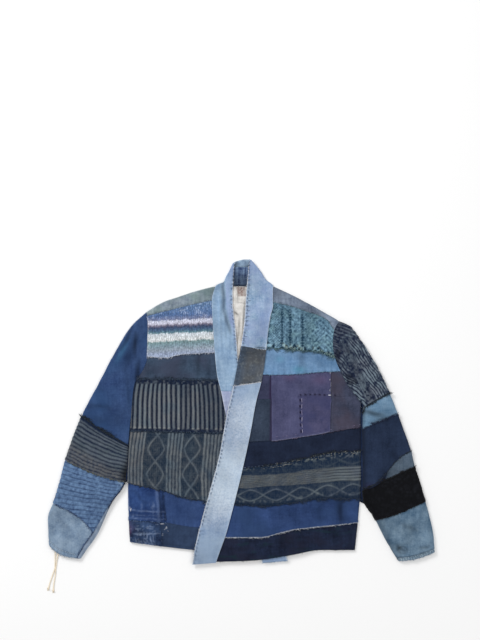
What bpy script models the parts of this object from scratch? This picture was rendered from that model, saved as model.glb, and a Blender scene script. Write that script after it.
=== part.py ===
"""Patched boro jacket, laid out flat with its front up and its neck towards +Y.

X runs across the jacket, from the wearer's right sleeve to the left one. Y runs up its length and Z up
through its layers, with the floor at z = 0 and the origin under the middle of the jacket. Lengths in the
tables are millimetres. Right and left are the wearer's, and the left front closes over the right.

Each front, band and sleeve is a lane: u runs across it from 0 to 1, and v runs down it, one whole number
for each seam. Every patch is a wall between two of its lane's seams, so patches that are sewn together
share the same seam points, and each stands back from them by half a gap.
"""

from math import cos, pi, radians, sin

import bmesh
import bpy
import numpy as np
from mathutils import Vector

MM = 0.001

# Walls and layers, from the floor up.
BACK_WALL = 2.0
LINING_WALL = 1.0
PATCH_WALL = 2.4  # pieced cloth and the cotton that it is tacked to
BAND_WALL = 3.0  # the left band is folded denim
APPLIED_WALL = 1.2
COLLAR_WALL = 3.0
GAP = 0.3  # between pieces that touch
UNDER_LEVEL = 3.6  # underside of the right front, and of the left one where it lies on the back
OVER_LEVEL = 6.5  # underside of the left front where it laps over the right band
LAP_CLEAR = 25.0  # how far past the right band's edge the left front stays at OVER_LEVEL
LAP_FALL = 60.0  # the width over which it then comes down

# Outer edges turn down to the floor in a quarter round of this radius.
EDGE_RADIUS = 6.0
EDGE_ANGLES = (0, 42, 90)  # degrees up the quarter round
EDGE_SEAT = 1.1  # from the turned edge's inner face to the layer that lies inside it


def curve(points):
    """A smooth curve through (at, value) points that never swings past them."""
    at, value = (np.array(column, float) for column in zip(*sorted(points)))
    step = np.diff(at)
    rise = np.diff(value) / step
    slope = np.zeros(len(at))
    slope[0], slope[-1] = rise[0], rise[-1]
    for k in range(1, len(rise)):
        if rise[k - 1] * rise[k] > 0:
            slope[k] = 2 * rise[k - 1] * rise[k] / (rise[k - 1] + rise[k])

    def read(where):
        where = np.clip(where, at[0], at[-1])
        k = np.clip(np.searchsorted(at, where, side="right") - 1, 0, len(step) - 1)
        t = (where - at[k]) / step[k]
        ends = value[k] * (1 + 2 * t) * (1 - t) ** 2 + value[k + 1] * t * t * (3 - 2 * t)
        pull = slope[k] * t * (1 - t) ** 2 - slope[k + 1] * t * t * (1 - t)
        return ends + pull * step[k]

    return read


def smooth(t):
    t = np.clip(t, 0.0, 1.0)
    return t * t * (3 - 2 * t)


# Edges of the body, as (y, x).
RIGHT_SIDE = (
    (249, -238), (225, -232), (140, -234), (110, -243), (86, -258), (70, -267), (38, -272),
    (-14, -276), (-53, -279), (-174, -284), (-270, -282), (-325, -279),
)
LEFT_SIDE = (
    (227, 244), (210, 234), (191, 229), (168, 228), (144, 231), (127, 236), (106, 245), (84, 255),
    (61, 269), (40, 285), (23, 298), (-170, 298), (-275, 291), (-345, 284),
)
# The bands' edges, as (y, x): the edge sewn to the front, and the free edge.
RIGHT_BAND_SEAM = (
    (352, -31), (339, -38.5), (327, -44), (314, -64), (277, -74), (226, -72), (150, -67), (92, -61),
    (51, -51), (-3, -40), (-375, 52),
)
RIGHT_BAND_EDGE = (
    (373, -17.5), (345, -20), (277, -22), (240, -19), (205, -14.5), (166, -11.5), (137, -9.5),
    (51, 12), (-3, 25), (-375, 117),
)
LEFT_BAND_SEAM = (
    (372, 31), (352, 47.5), (330, 62), (313, 81), (265, 81), (240, 75), (194, 68), (163, 65), (107, 58),
    (72, 51), (30, 40), (-61, 23), (-152, 3), (-229, -16), (-307, -37), (-349, -52), (-375, -61),
)
LEFT_BAND_EDGE = (
    (377, 21), (300, 12), (208, 5), (163, -2), (63, -21), (-7, -37), (-110, -56), (-193, -78),
    (-276, -101), (-343, -117), (-381, -123),
)

# Seams across the fronts: y at five even stations, and the shares of the way down to the next seam
# where the cloth has a further row of points.
RIGHT_FRONT_SEAMS = (
    # name            side                     band   rows below
    ("shoulder",      (249, 273, 288, 302, 314), ()),
    ("yoke_foot",     (239, 249, 259, 269, 277), (0.33, 0.67)),
    ("striped_foot",  (139, 136, 144, 147, 150), (0.5,)),
    ("slate_foot",    (80, 80, 79, 78, 76), (0.25, 0.5, 0.75)),
    ("ribbed_foot",   (-45, -46, -48, -49, -50), (0.33, 0.67)),
    ("cable_foot",    (-174, -190, -212, -226, -232), (0.5,)),
    ("blue_foot",     (-269, -274, -287, -292, -294), (0.5,)),
    ("hem",           (-325, -336, -345, -352, -358), ()),
)
LEFT_FRONT_SEAMS = (
    # name            band                     side   rows below
    ("shoulder",      (313, 294, 273, 251, 227), ()),
    ("yoke_foot",     (272, 263, 250, 236, 203), (0.33, 0.67)),
    ("teal_foot",     (163, 160, 155, 154, 137), (0.5,)),
    ("sky_foot",      (94, 94, 97, 101, 103), (0.33, 0.67)),
    ("plum_break",    (32, 33, 36, 38, 40), (0.21, 0.6)),
    ("purple_foot",   (-74, -70, -60, -48, -36), (0.5,)),
    ("navy_foot",     (-141, -132, -117, -102, -97), (0.33, 0.67)),
    ("cable_foot",    (-229, -233, -223, -213, -215), (0.5,)),
    ("blue_foot",     (-312, -312, -293, -284, -275), (0.5,)),
    ("hem",           (-374, -371, -359, -345, -345), ()),
)
# Seams across the bands: y at the free edge and at the sewn one.
RIGHT_BAND_SEAMS = (
    # name            (free edge, sewn edge)
    ("collar_end",    (352, 352)),
    ("lilac_head",    (50, 52)),
    ("lilac_foot",    (-60, -52)),
    ("hem",           (-372, -377)),
)
LEFT_BAND_SEAMS = (
    # name            (free edge, sewn edge)
    ("collar_end",    (372, 372)),
    ("dark_head",     (159, 150)),
    ("dark_foot",     (64, 75)),
    ("hem",           (-381, -376)),
)

# Sections down the sleeves, from the armhole to the cuff: the outer and inner ends, how far the seam
# bows towards +Y in the middle and swings at its quarters, and the height of the upper cloth.
RIGHT_SLEEVE_SECTIONS = (
    # name            outer x, y    inner x, y    bow  swing  top
    ("armhole",       -238, 249,    -276, -14,      0,   0,  6.0),
    ("head",          -273, 217,    -277, -24,      0,   0,  6.6),
    ("upper_arm",     -324, 134,    -279, -45,      2,   0,  7.4),
    ("above_elbow",   -359, 67,     -280, -62,      4,   0,  8.0),
    ("blue_foot",     -400, -11,    -283, -84,     -4,   0,  8.2),
    ("ribbed_foot",   -440, -117,   -290, -172,    -8,   0,  8.2),
    ("below_elbow",   -454, -172,   -325, -230,     4,   0,  8.1),
    ("knit_foot",     -470, -225,   -362, -309,    15,  -2,  8.0),
    ("wrist",         -484, -266,   -386, -343,     4,  -3,  7.8),
    ("cuff",          -481, -333,   -402, -367,   -10,  -2,  7.6),
)
LEFT_SLEEVE_SECTIONS = (
    # name            outer x, y    inner x, y    bow  swing  top
    ("armhole",       244, 227,     298, 23,        0,   0,  6.0),
    ("head",          268, 217,     300, 21,        0,   0,  6.6),
    ("upper_arm",     301, 175,     302, 19,        0,   0,  7.4),
    ("above_elbow",   337, 117,     303, 17,        0,   0,  8.0),
    ("cable_foot",    369, 50,      304, 15,        1,   0,  8.2),
    ("sky_foot",      392, -8,      302, -46,       1,   0,  8.2),
    ("navy_foot",     424, -99,     303, -192,     -6,   9,  8.2),
    ("grey_foot",     434, -138,    302, -199,      0,   0,  8.0),
    ("black_middle",  448, -180,    303, -221,      0,   0,  8.0),
    ("black_foot",    459, -220,    333, -268,     -5,   0,  8.0),
    ("wrist",         479, -304,    366, -331,     -4,   0,  7.8),
    ("cuff",          483, -350,    391, -372,     -6,   0,  7.6),
)
EDGE_STRIP_WIDTH = 9.0  # of the under sleeve that comes round to the front below the right elbow

# Soft folds in the upper cloth: ends of the crest, its half width and how far it rises or sinks.
FOLDS = (
    # name              x0,   y0,    x1,   y1, half, rise
    ("right_armhole",  -262,  205,  -262,   70,  13,  1.1),
    ("right_elbow_a",  -392,   20,  -300,  -20,  14,  1.2),
    ("right_elbow_b",  -372,   52,  -292,   12,  11, -0.9),
    ("right_wrist",    -472, -262,  -400, -300,  12,  1.0),
    ("right_body_a",   -262,  -60,  -225, -150,  15,  0.8),
    ("right_body_b",   -250, -235,  -205, -300,  16, -0.8),
    ("left_armhole",    262,  190,   285,   60,  13,  1.0),
    ("left_elbow",      392,  -62,   322, -105,  14,  1.1),
    ("left_forearm",    445, -250,   380, -300,  13,  1.2),
    ("left_body_a",     262,  -62,   205, -150,  16,  0.9),
    ("left_body_b",     250, -240,   190, -300,  17, -0.8),
)


def fold_height(x, y):
    """How far the folds lift the upper cloth at a place. Each fades out towards its ends."""
    lift = np.zeros(np.shape(x))
    for _, x0, y0, x1, y1, half, rise in FOLDS:
        run_x, run_y = x1 - x0, y1 - y0
        length = (run_x**2 + run_y**2) ** 0.5
        along = ((x - x0) * run_x + (y - y0) * run_y) / length**2
        aside = ((x - x0) * run_y - (y - y0) * run_x) / length
        crest = np.sin(pi * np.clip(along, 0, 1)) ** 0.8
        lift = lift + rise * crest * np.exp(-((aside / half) ** 2))
    return lift


right_band_edge = curve(RIGHT_BAND_EDGE)


def under_level(x, y):
    return UNDER_LEVEL + fold_height(x, y)


def over_level(x, y):
    """The left front and band ride over the right band's edge, then come down to the back."""
    past = x - right_band_edge(y) - LAP_CLEAR
    return OVER_LEVEL + (UNDER_LEVEL - OVER_LEVEL) * smooth(past / LAP_FALL) + fold_height(x, y)


class Lane:
    """Cloth between two edges, given as x by y, crossed by seams that hold y at even stations."""

    def __init__(self, start, end, seams, underside=under_level):
        self.start, self.end, self.underside = curve(start), curve(end), underside
        self.names = [seam[0] for seam in seams]
        self.seams = [curve(zip(np.linspace(0, 1, len(seam[1])), seam[1])) for seam in seams]
        self.rows = {seam[0]: seam[2] for seam in seams if len(seam) > 2}

    def place(self, u, v):
        """The plan position at u across and v seams down."""
        u, v = np.broadcast_arrays(np.asarray(u, float), np.asarray(v, float))
        k = np.clip(np.floor(v).astype(int), 0, len(self.seams) - 2)
        levels = np.array([seam(u) for seam in self.seams])
        upper = np.take_along_axis(levels, k[None], 0)[0]
        lower = np.take_along_axis(levels, k[None] + 1, 0)[0]
        y = upper + (lower - upper) * (v - k)
        x = self.start(y) * (1 - u) + self.end(y) * u
        return x, y

    def rows_between(self, first, last):
        """The values of v for every row of points from one seam to another."""
        rows = []
        for k in range(first, last):
            rows += [float(k)] + [k + share for share in self.rows[self.names[k]]]
        return rows + [float(last)]

    def height(self, u, v, wall):
        return self.underside(*self.place(u, v)) + wall


class Sleeve:
    """Cloth from an armhole, where it follows the body's side edge, down to the cuff."""

    ARMHOLE_FADE = 3.0  # sections down, where the armhole's curve has gone

    def __init__(self, sections, side):
        self.names = [section[0] for section in sections]
        columns = list(zip(*(section[1:] for section in sections)))
        self.outer_x, self.outer_y, self.inner_x, self.inner_y, self.bow, self.swing, self.top = (
            curve(enumerate(column)) for column in columns
        )
        self.side = curve(side)
        self.head, self.armpit = columns[1][0], columns[3][0]

    def place(self, u, v):
        u, v = np.broadcast_arrays(np.asarray(u, float), np.asarray(v, float))
        x = self.outer_x(v) * (1 - u) + self.inner_x(v) * u
        y = self.outer_y(v) * (1 - u) + self.inner_y(v) * u
        hole_y = self.head + (self.armpit - self.head) * u
        hole_x = self.side(hole_y) - (self.side(self.head) * (1 - u) + self.side(self.armpit) * u)
        x = x + hole_x * np.clip(1 - v / self.ARMHOLE_FADE, 0, 1) ** 1.5
        y = y + self.bow(v) * np.sin(pi * u) + self.swing(v) * np.sin(2 * pi * u)
        return x, y

    def station(self, y):
        """u where the armhole passes the level y."""
        return (self.head - y) / (self.head - self.armpit)

    def height(self, u, v, wall):
        return self.top(v) - PATCH_WALL + wall + fold_height(*self.place(u, v))


def mm_per_unit(lane, u, v, across):
    """How many mm the lane covers for one unit of u, or of v, at each point."""
    step = 1e-3
    x0, y0 = lane.place(u - step * across, v - step * (1 - across))
    x1, y1 = lane.place(u + step * across, v + step * (1 - across))
    return np.hypot(x1 - x0, y1 - y0) / (2 * step)


# An edge is (back, turn): how far the wall stands back from it in mm, and either None or a function of
# y that says how strongly the wall turns down to the floor there, from 0 to 1.
SEWN = (GAP / 2, None)


def flat_edge(back):
    return (back, None)


def turned(y):
    return np.ones(np.shape(y))


def right_side_turn(y):
    return smooth((ARMPIT_RIGHT - y) / TURN_RUN)


def left_side_turn(y):
    return smooth((ARMPIT_LEFT - y) / TURN_RUN)


def neck_turn(y):
    return smooth((y - NECK_TURN_FROM) / (TURN_RUN / 2))


def stations(shares, start, end):
    """(share, angle, side) for each row of points. A turned edge takes one for each angle."""
    first = EDGE_ANGLES if start[1] else (None,)
    last = EDGE_ANGLES[::-1] if end[1] else (None,)
    return (
        [(shares[0], angle, 1) for angle in first]
        + [(share, None, 0) for share in shares[1:-1]]
        + [(shares[-1], angle, -1) for angle in last]
    )


def stand_back(line, edges, y, wall):
    """For a row of points near an edge: mm inwards for the outer and inner face, and the height left."""
    _, angle, side = line
    if side == 0:
        return 0.0, 0.0, 1.0
    back, turn_at = edges[0] if side > 0 else edges[1]
    if angle is None:
        return side * back, side * back, 1.0
    turn = turn_at(y)
    outer = EDGE_RADIUS * (1 - cos(radians(angle)))
    inner = EDGE_RADIUS - (EDGE_RADIUS - wall) * cos(radians(angle))
    stand = outer + back * (1 - turn)
    return side * stand, side * (stand + (inner - outer) * turn), 1 - turn * (1 - sin(radians(angle)))


def wall_faces(lane, height, wall, u_ends, shares, rows, across, along):
    """Points of the outer and inner face. Both are lists of rows, each a list of (x, y, z)."""
    columns = stations(shares, *across)
    lines = stations(rows, *along)
    outer, inner = [], []
    for line in lines:
        outer_row, inner_row = [], []
        for column in columns:
            v = line[0]
            u = u_ends[0](v) * (1 - column[0]) + u_ends[1](v) * column[0]
            y = lane.place(u, v)[1]
            u_out, u_in, u_share = stand_back(column, across, y, wall)
            v_out, v_in, v_share = stand_back(line, along, y, wall)
            mm_u, mm_v = mm_per_unit(lane, u, v, 1), mm_per_unit(lane, u, v, 0)
            for row, mm_across, mm_along, drop in (
                (outer_row, u_out, v_out, 0.0),
                (inner_row, u_in, v_in, wall),
            ):
                at = (u + mm_across / mm_u, v + mm_along / mm_v)
                z = (height(*at) - drop) * u_share * v_share
                row.append((*lane.place(*at), z))
        outer.append(outer_row)
        inner.append(inner_row)
    return outer, inner


def at_share(share):
    return lambda v: share


def lane_height(lane, wall):
    return lambda u, v: lane.height(u, v, wall)


def make_wall(name, colour, lane, first, last, wall=PATCH_WALL, height=None, u_ends=(0.0, 1.0),
              columns=8, shares=None, rows=None, across=(SEWN, SEWN), along=(SEWN, SEWN)):
    """One cut piece: a closed wall over part of a lane, from one seam to another."""
    first, last = lane.names.index(first), lane.names.index(last)
    u_ends = [end if callable(end) else at_share(end) for end in u_ends]
    outer, inner = wall_faces(
        lane, height or lane_height(lane, wall), wall, u_ends,
        shares if shares is not None else list(np.linspace(0, 1, columns + 1)),
        rows or lane.rows_between(first, last), across, along,
    )
    mesh = bmesh.new()
    top = [[mesh.verts.new(Vector(point) * MM) for point in row] for row in outer]
    foot = [[mesh.verts.new(Vector(point) * MM) for point in row] for row in inner]
    last_row, last_column = len(top) - 1, len(top[0]) - 1
    for j in range(last_row):
        for i in range(last_column):
            mesh.faces.new((top[j][i], top[j][i + 1], top[j + 1][i + 1], top[j + 1][i]))
            mesh.faces.new((foot[j][i], foot[j + 1][i], foot[j + 1][i + 1], foot[j][i + 1]))
    for j in range(last_row):
        for i, (a, b) in ((0, (j, j + 1)), (last_column, (j + 1, j))):
            mesh.faces.new((top[a][i], top[b][i], foot[b][i], foot[a][i]))
    for i in range(last_column):
        for j, (a, b) in ((0, (i + 1, i)), (last_row, (i, i + 1))):
            mesh.faces.new((top[j][a], top[j][b], foot[j][b], foot[j][a]))
    if mesh.calc_volume(signed=True) < 0:  # lanes that run the other way round
        bmesh.ops.reverse_faces(mesh, faces=mesh.faces)
    return add_object(name, mesh, colour)


def finish(name, colour, roughness=0.92):
    """Worn cloth: a dull Principled BSDF in the piece's own colour."""
    material = bpy.data.materials.new(name)
    material.use_nodes = True
    shader = material.node_tree.nodes["Principled BSDF"]
    shader.inputs["Base Color"].default_value = (*colour, 1.0)
    shader.inputs["Roughness"].default_value = roughness
    return material


def add_object(name, mesh, colour):
    data = bpy.data.meshes.new(name)
    mesh.to_mesh(data)
    mesh.free()
    data.materials.append(finish(name, colour))
    piece = bpy.data.objects.new(name, data)
    bpy.context.scene.collection.objects.link(piece)
    return piece


def clear_scene():
    for thing in list(bpy.data.objects):
        bpy.data.objects.remove(thing, do_unlink=True)


# Colours of the cloths.
BLUE_DENIM = (0.026, 0.070, 0.205)
LIGHT_DENIM = (0.30, 0.42, 0.58)
LINING_CREAM = (0.66, 0.61, 0.54)
NAVY = (0.018, 0.028, 0.065)
PLUM = (0.075, 0.062, 0.135)

# The single patches of the right front: node, colour, and the seams above and below.
RIGHT_FRONT_PATCHES = (
    ("right_front_yoke",         (0.15, 0.21, 0.25),    "shoulder",     "yoke_foot"),
    ("right_front_striped_knit", (0.21, 0.32, 0.42),    "yoke_foot",    "striped_foot"),
    ("right_front_slate_denim",  (0.045, 0.065, 0.11),  "striped_foot", "slate_foot"),
    ("right_front_ribbed_knit",  (0.075, 0.09, 0.105),  "slate_foot",   "ribbed_foot"),
    ("right_front_cable_knit",   (0.07, 0.085, 0.095),  "ribbed_foot",  "cable_foot"),
)
# Where the blue row and the hem of the right front are split, as a share of the width.
FLAP_SPLIT = 0.30
HEM_SPLIT = 0.25
RIGHT_COLUMNS = sorted({*np.linspace(0, 1, 9), FLAP_SPLIT})
LEFT_FRONT_PATCHES = (
    ("left_front_yoke",       (0.14, 0.18, 0.26),    "shoulder",    "yoke_foot"),
    ("left_front_teal_knit",  (0.09, 0.21, 0.25),    "yoke_foot",   "teal_foot"),
    ("left_front_sky_denim",  (0.14, 0.28, 0.45),    "teal_foot",   "sky_foot"),
    ("left_front_navy_denim", NAVY,                  "purple_foot", "navy_foot"),
    ("left_front_cable_knit", (0.075, 0.09, 0.12),   "navy_foot",   "cable_foot"),
    ("left_front_blue_denim", (0.03, 0.06, 0.17),    "cable_foot",  "blue_foot"),
    ("left_front_hem_navy",   (0.014, 0.022, 0.045), "blue_foot",   "hem"),
)
# Upright seams in the purple row, as (seams below sky_foot, share of the width).
STRIP_SEAM = ((0, 0.10), (1, 0.14), (2, 0.20))
PLUM_SEAM = ((0, 0.873), (1, 0.735), (1.17, 0.708), (2, 0.714))
STITCHED_PATCH_EDGE = ((1, 0.405), (2, 0.45))  # the patch's inner edge
STITCHED_PATCH_ROWS = (4.03, 4.21, 4.6, 4.93)  # seams down the left front

RIGHT_SLEEVE_PATCHES = (
    ("right_sleeve_blue_denim",  BLUE_DENIM,           "armhole",     "blue_foot",   4),
    ("right_sleeve_ribbed_knit", (0.06, 0.07, 0.08),   "blue_foot",   "ribbed_foot", 1),
    ("right_sleeve_blue_knit",   (0.07, 0.14, 0.31),   "ribbed_foot", "knit_foot",   2),
    ("right_sleeve_cuff_denim",  (0.17, 0.26, 0.38),   "knit_foot",   "cuff",        2),
)
LEFT_SLEEVE_PATCHES = (
    ("left_sleeve_cable_knit",   (0.05, 0.07, 0.11),   "armhole",    "cable_foot", 4),
    ("left_sleeve_sky_denim",    (0.13, 0.26, 0.40),   "cable_foot", "sky_foot",   1),
    ("left_sleeve_navy_denim",   (0.02, 0.032, 0.08),  "sky_foot",   "navy_foot",  1),
    ("left_sleeve_grey_sliver",  (0.10, 0.17, 0.24),   "navy_foot",  "grey_foot",  1),
    ("left_sleeve_black_jersey", (0.004, 0.004, 0.006), "grey_foot", "black_foot", 2),
    ("left_sleeve_cuff_denim",   (0.14, 0.23, 0.35),   "black_foot", "cuff",       2),
)
SLEEVE_ROWS = {1: 3, 2: 4, 4: 8}  # rows of points down a patch that covers so many sections

# Lanes that only the hidden layers and the collar need.
BACK_SEAMS = (
    ("shoulder", (249, 271, 285.5, 298, 306, 308, 308, 308, 308, 293, 272, 249, 225), ()),
    ("mid", (-20,) * 13, ()),
    ("hem", (-322, -332, -342, -350, -355, -360, -363, -363, -361, -357, -352, -346, -341), ()),
)
BACK_ROWS = (0.0, 0.07, 0.15, 0.25, 0.36, 0.47, 0.58, 0.68, 0.78, 0.9, 1.1, 1.35, 1.55, 1.7, 1.85, 2.0)
COLLAR_START = ((381, -10), (375, -17), (365, -21), (354, -24), (345, -29), (327, -37), (305, -52))
COLLAR_END = ((381, 23), (373, 25.5), (362, 33), (352, 41), (336, 51), (305, 72))
COLLAR_SEAMS = (
    ("top", (375, 379, 381, 381, 381), (0.5,)),
    ("facing_head", (362, 362, 362, 362, 362), (0.33, 0.67)),
    ("neck", (309, 309, 309, 309, 309), ()),
)
LINING_START = ((311, -36), (212, -26), (172, -22), (128, -19))
LINING_END = ((311, 24), (208, 15), (163, 8), (128, 3))
LINING_SEAMS = (("neck", (307, 307), (0.25, 0.5, 0.75)), ("point", (128, 128), ()))

BAND_COLUMNS = (0, 0.3, 1)
NECK_LEVELS = (339, 327)  # rows of points in the bands above the shoulder seam
ROW_CLEAR = 4.0  # the least height between two rows of points
ARMPIT_RIGHT = -14
ARMPIT_LEFT = 23
TURN_RUN = 35.0  # below the armpit, the length over which the side comes down to the floor
NECK_TURN_FROM = 308

# The drawstring of the right cuff: two free ends, as (x, y, z) along each, then its knot.
CORD_DIAMETER = 2.4
CORD_STEP = 6.0
CORD_ROUTES = {
    "drawstring_a": (
        (-464, -343, 3.6), (-465, -351, 3.5), (-466, -361, 1.7), (-466, -374, 1.25), (-466, -388, 1.25),
        (-470, -402, 1.25), (-475, -416, 1.25), (-479, -428, 1.25), (-482, -439, 1.25),
    ),
    "drawstring_b": (
        (-457, -346, 3.6), (-458, -353, 3.5), (-460, -363, 1.7), (-462, -376, 1.25), (-464, -391, 1.25),
        (-465, -405, 1.25), (-467, -418, 1.25), (-469, -431, 1.25), (-470, -444, 1.25),
    ),
}
KNOT_LENGTH = 7.5
KNOT_RADIUS = 2.6


def split_at(points, first):
    """An upright seam's share of the width, straight between its points below the seam numbered first."""
    down, shares = zip(*points)
    return lambda v: float(np.interp(v - first, down, shares))


def make_right_front(lane):
    side, band = (GAP / 2, right_side_turn), SEWN
    for node, colour, top, foot in RIGHT_FRONT_PATCHES:
        above_armpit = top in ("shoulder", "yoke_foot", "striped_foot")
        head = (0.0, turned) if top == "shoulder" else SEWN
        make_wall(node, colour, lane, top, foot, shares=RIGHT_COLUMNS, along=(head, SEWN),
                  across=(SEWN if above_armpit else side, band))
    for names, colours, split, top, foot in (
        (("right_front_blue_flap", "right_front_blue_denim"), ((0.05, 0.11, 0.27), BLUE_DENIM),
         FLAP_SPLIT, "cable_foot", "blue_foot"),
        (("right_front_hem_faded", "right_front_hem_slate"), ((0.06, 0.10, 0.20), (0.025, 0.035, 0.07)),
         HEM_SPLIT, "blue_foot", "hem"),
    ):
        outside = [share for share in RIGHT_COLUMNS if share < split] + [split]
        inside = [split] + [share for share in RIGHT_COLUMNS if share > split]
        make_wall(names[0], colours[0], lane, top, foot, shares=outside, across=(side, SEWN))
        make_wall(names[1], colours[1], lane, top, foot, shares=inside, across=(SEWN, band))


def make_left_front(lane):
    side = (GAP / 2, left_side_turn)
    for node, colour, top, foot in LEFT_FRONT_PATCHES:
        above_armpit = lane.names.index(top) < lane.names.index("plum_break")
        head = (0.0, turned) if top == "shoulder" else SEWN
        make_wall(node, colour, lane, top, foot, along=(head, SEWN),
                  across=(SEWN, SEWN if above_armpit else side))
    first = lane.names.index("sky_foot")
    strip, plum = split_at(STRIP_SEAM, first), split_at(PLUM_SEAM, first)
    make_wall("left_front_plum_strip", (0.035, 0.03, 0.075), lane, "sky_foot", "plum_break",
              u_ends=(0.0, strip), columns=2)
    make_wall("left_front_slate_strip", (0.03, 0.04, 0.06), lane, "plum_break", "purple_foot",
              u_ends=(0.0, strip), columns=2)
    make_wall("left_front_purple_denim", PLUM, lane, "sky_foot", "purple_foot",
              u_ends=(strip, plum), columns=6)
    make_wall("left_front_plum_upper", (0.055, 0.05, 0.10), lane, "sky_foot", "plum_break",
              u_ends=(plum, 1.0), columns=2)
    make_wall("left_front_plum_lower", (0.045, 0.042, 0.085), lane, "plum_break", "purple_foot",
              u_ends=(plum, 1.0), columns=2, across=(SEWN, side))

    def on_the_purple(u, v):
        return lane.height(u, v, PATCH_WALL) + GAP + APPLIED_WALL

    make_wall("left_front_stitched_patch", PLUM, lane, "plum_break", "purple_foot",
              wall=APPLIED_WALL, height=on_the_purple, rows=STITCHED_PATCH_ROWS,
              u_ends=(split_at(STITCHED_PATCH_EDGE, first), plum), columns=4)


def make_bands(right, left):
    """Each band is a lane of three cloths beside its front, whose rows of points it shares."""
    outer = (GAP / 2, neck_turn)
    for names, lane, front, u, wall, colours in (
        (("right_band_upper", "right_band_lilac", "right_band_lower"), *right, 1.0, PATCH_WALL,
         (LIGHT_DENIM, (0.27, 0.27, 0.40), LIGHT_DENIM)),
        (("left_band_upper", "left_band_dark_patch", "left_band_lower"), *left, 0.0, BAND_WALL,
         (LIGHT_DENIM, (0.075, 0.08, 0.09), (0.37, 0.49, 0.65))),
    ):
        for k, (node, colour) in enumerate(zip(names, colours)):
            rows = band_rows(lane, k, levels_down(front, u))
            make_wall(node, colour, lane, lane.names[k], lane.names[k + 1], wall=wall, rows=rows,
                      shares=BAND_COLUMNS, across=(SEWN, outer if k == 0 else SEWN))


def levels_down(front, u):
    """y of every row of points down a front, at u across it."""
    return [float(front.place(u, v)[1]) for v in front.rows_between(0, len(front.names) - 1)]


def band_rows(lane, k, levels):
    """v of a band's rows of points from its seam k to the next, at these levels of its sewn edge."""
    high, low = (float(lane.place(1.0, float(v))[1]) for v in (k, k + 1))
    within = [y for y in [*NECK_LEVELS, *levels] if low + ROW_CLEAR < y < high - ROW_CLEAR]
    return [float(k)] + [k + (high - y) / (high - low) for y in within] + [k + 1.0]


def make_sleeve(side_name, sleeve, patches, turn, armhole_levels):
    shares = [sleeve.station(y) for y in armhole_levels]
    outer, inner = (0.0, turned), (GAP / 2, turn)
    strip_rows = []
    for node, colour, top, foot, sections in patches:
        first = sleeve.names.index(top)
        rows = list(np.linspace(first, first + sections, SLEEVE_ROWS[sections] + 1))
        trimmed = side_name == "right" and first >= sleeve.names.index("ribbed_foot")
        strip = strip_seam(sleeve) if trimmed else 1.0
        make_wall(node, colour, sleeve, top, foot, rows=rows, shares=shares, u_ends=(0.0, strip),
                  across=(outer, SEWN if trimmed else inner))
        strip_rows += rows if trimmed else []
    if side_name == "right":
        make_wall("right_sleeve_edge_strip", (0.10, 0.17, 0.29), sleeve, "ribbed_foot", "cuff",
                  rows=sorted(set(strip_rows)), u_ends=(strip_seam(sleeve), 1.0),
                  columns=1, across=(SEWN, inner))
    make_wall(f"{side_name}_sleeve_under", BLUE_DENIM, sleeve, "armhole", "cuff", wall=BACK_WALL,
              height=flat_at(BACK_WALL), shares=shares,
              rows=[float(k) for k in range(len(sleeve.names))],
              across=(flat_edge(PATCH_WALL + EDGE_SEAT), flat_edge(PATCH_WALL + EDGE_SEAT)),
              along=(flat_edge(GAP), flat_edge(1.0)))


def strip_seam(sleeve):
    """The share of the sleeve's width at the edge strip's seam, down the sleeve."""
    return lambda v: 1 - EDGE_STRIP_WIDTH / float(mm_per_unit(sleeve, 0.5, v, 1))


def flat_at(z):
    """The height of a layer that lies flat, whose outer face is z up."""
    return lambda u, v: z


def make_hidden_layers():
    back = Lane(RIGHT_SIDE, LEFT_SIDE, BACK_SEAMS)
    seat = flat_edge(PATCH_WALL + EDGE_SEAT)
    make_wall("back_panel", BLUE_DENIM, back, "shoulder", "hem", wall=BACK_WALL,
              height=flat_at(BACK_WALL), columns=12, rows=list(BACK_ROWS),
              across=(seat, seat), along=(seat, SEWN))
    lining = Lane(LINING_START, LINING_END, LINING_SEAMS)
    make_wall("back_lining", LINING_CREAM, lining, "neck", "point", wall=LINING_WALL,
              height=flat_at(BACK_WALL + GAP + LINING_WALL), columns=3)
    collar = Lane(COLLAR_START, COLLAR_END, COLLAR_SEAMS)
    for node, colour, top, foot in (
        ("collar_back", LIGHT_DENIM, "top", "facing_head"),
        ("collar_facing", (0.012, 0.02, 0.05), "facing_head", "neck"),
    ):
        make_wall(node, colour, collar, top, foot, wall=COLLAR_WALL, height=flat_at(COLLAR_WALL),
                  columns=6)


def make_drawstring():
    """Both free ends lie on the floor from the cuff's channel to their knots."""
    colour = (0.66, 0.56, 0.38)
    for name, route in CORD_ROUTES.items():
        points = np.array(route)
        reach = np.concatenate([[0], np.cumsum(np.linalg.norm(np.diff(points, axis=0), axis=1))])
        read = [curve(zip(reach, column)) for column in points.T]
        count = int(reach[-1] / CORD_STEP)
        cord = bpy.data.curves.new(name, "CURVE")
        cord.dimensions = "3D"
        cord.bevel_depth = CORD_DIAMETER / 2 * MM
        cord.bevel_resolution = 2
        cord.use_fill_caps = True
        line = cord.splines.new("POLY")
        line.points.add(count)
        for k, at in enumerate(np.linspace(0, reach[-1], count + 1)):
            line.points[k].co = (*(float(axis(at)) * MM for axis in read), 1.0)
        cord.materials.append(finish(name, colour))
        piece = bpy.data.objects.new(name, cord)
        bpy.context.scene.collection.objects.link(piece)
        add_knot(f"{name}_knot", colour, points[-2], points[-1])


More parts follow.
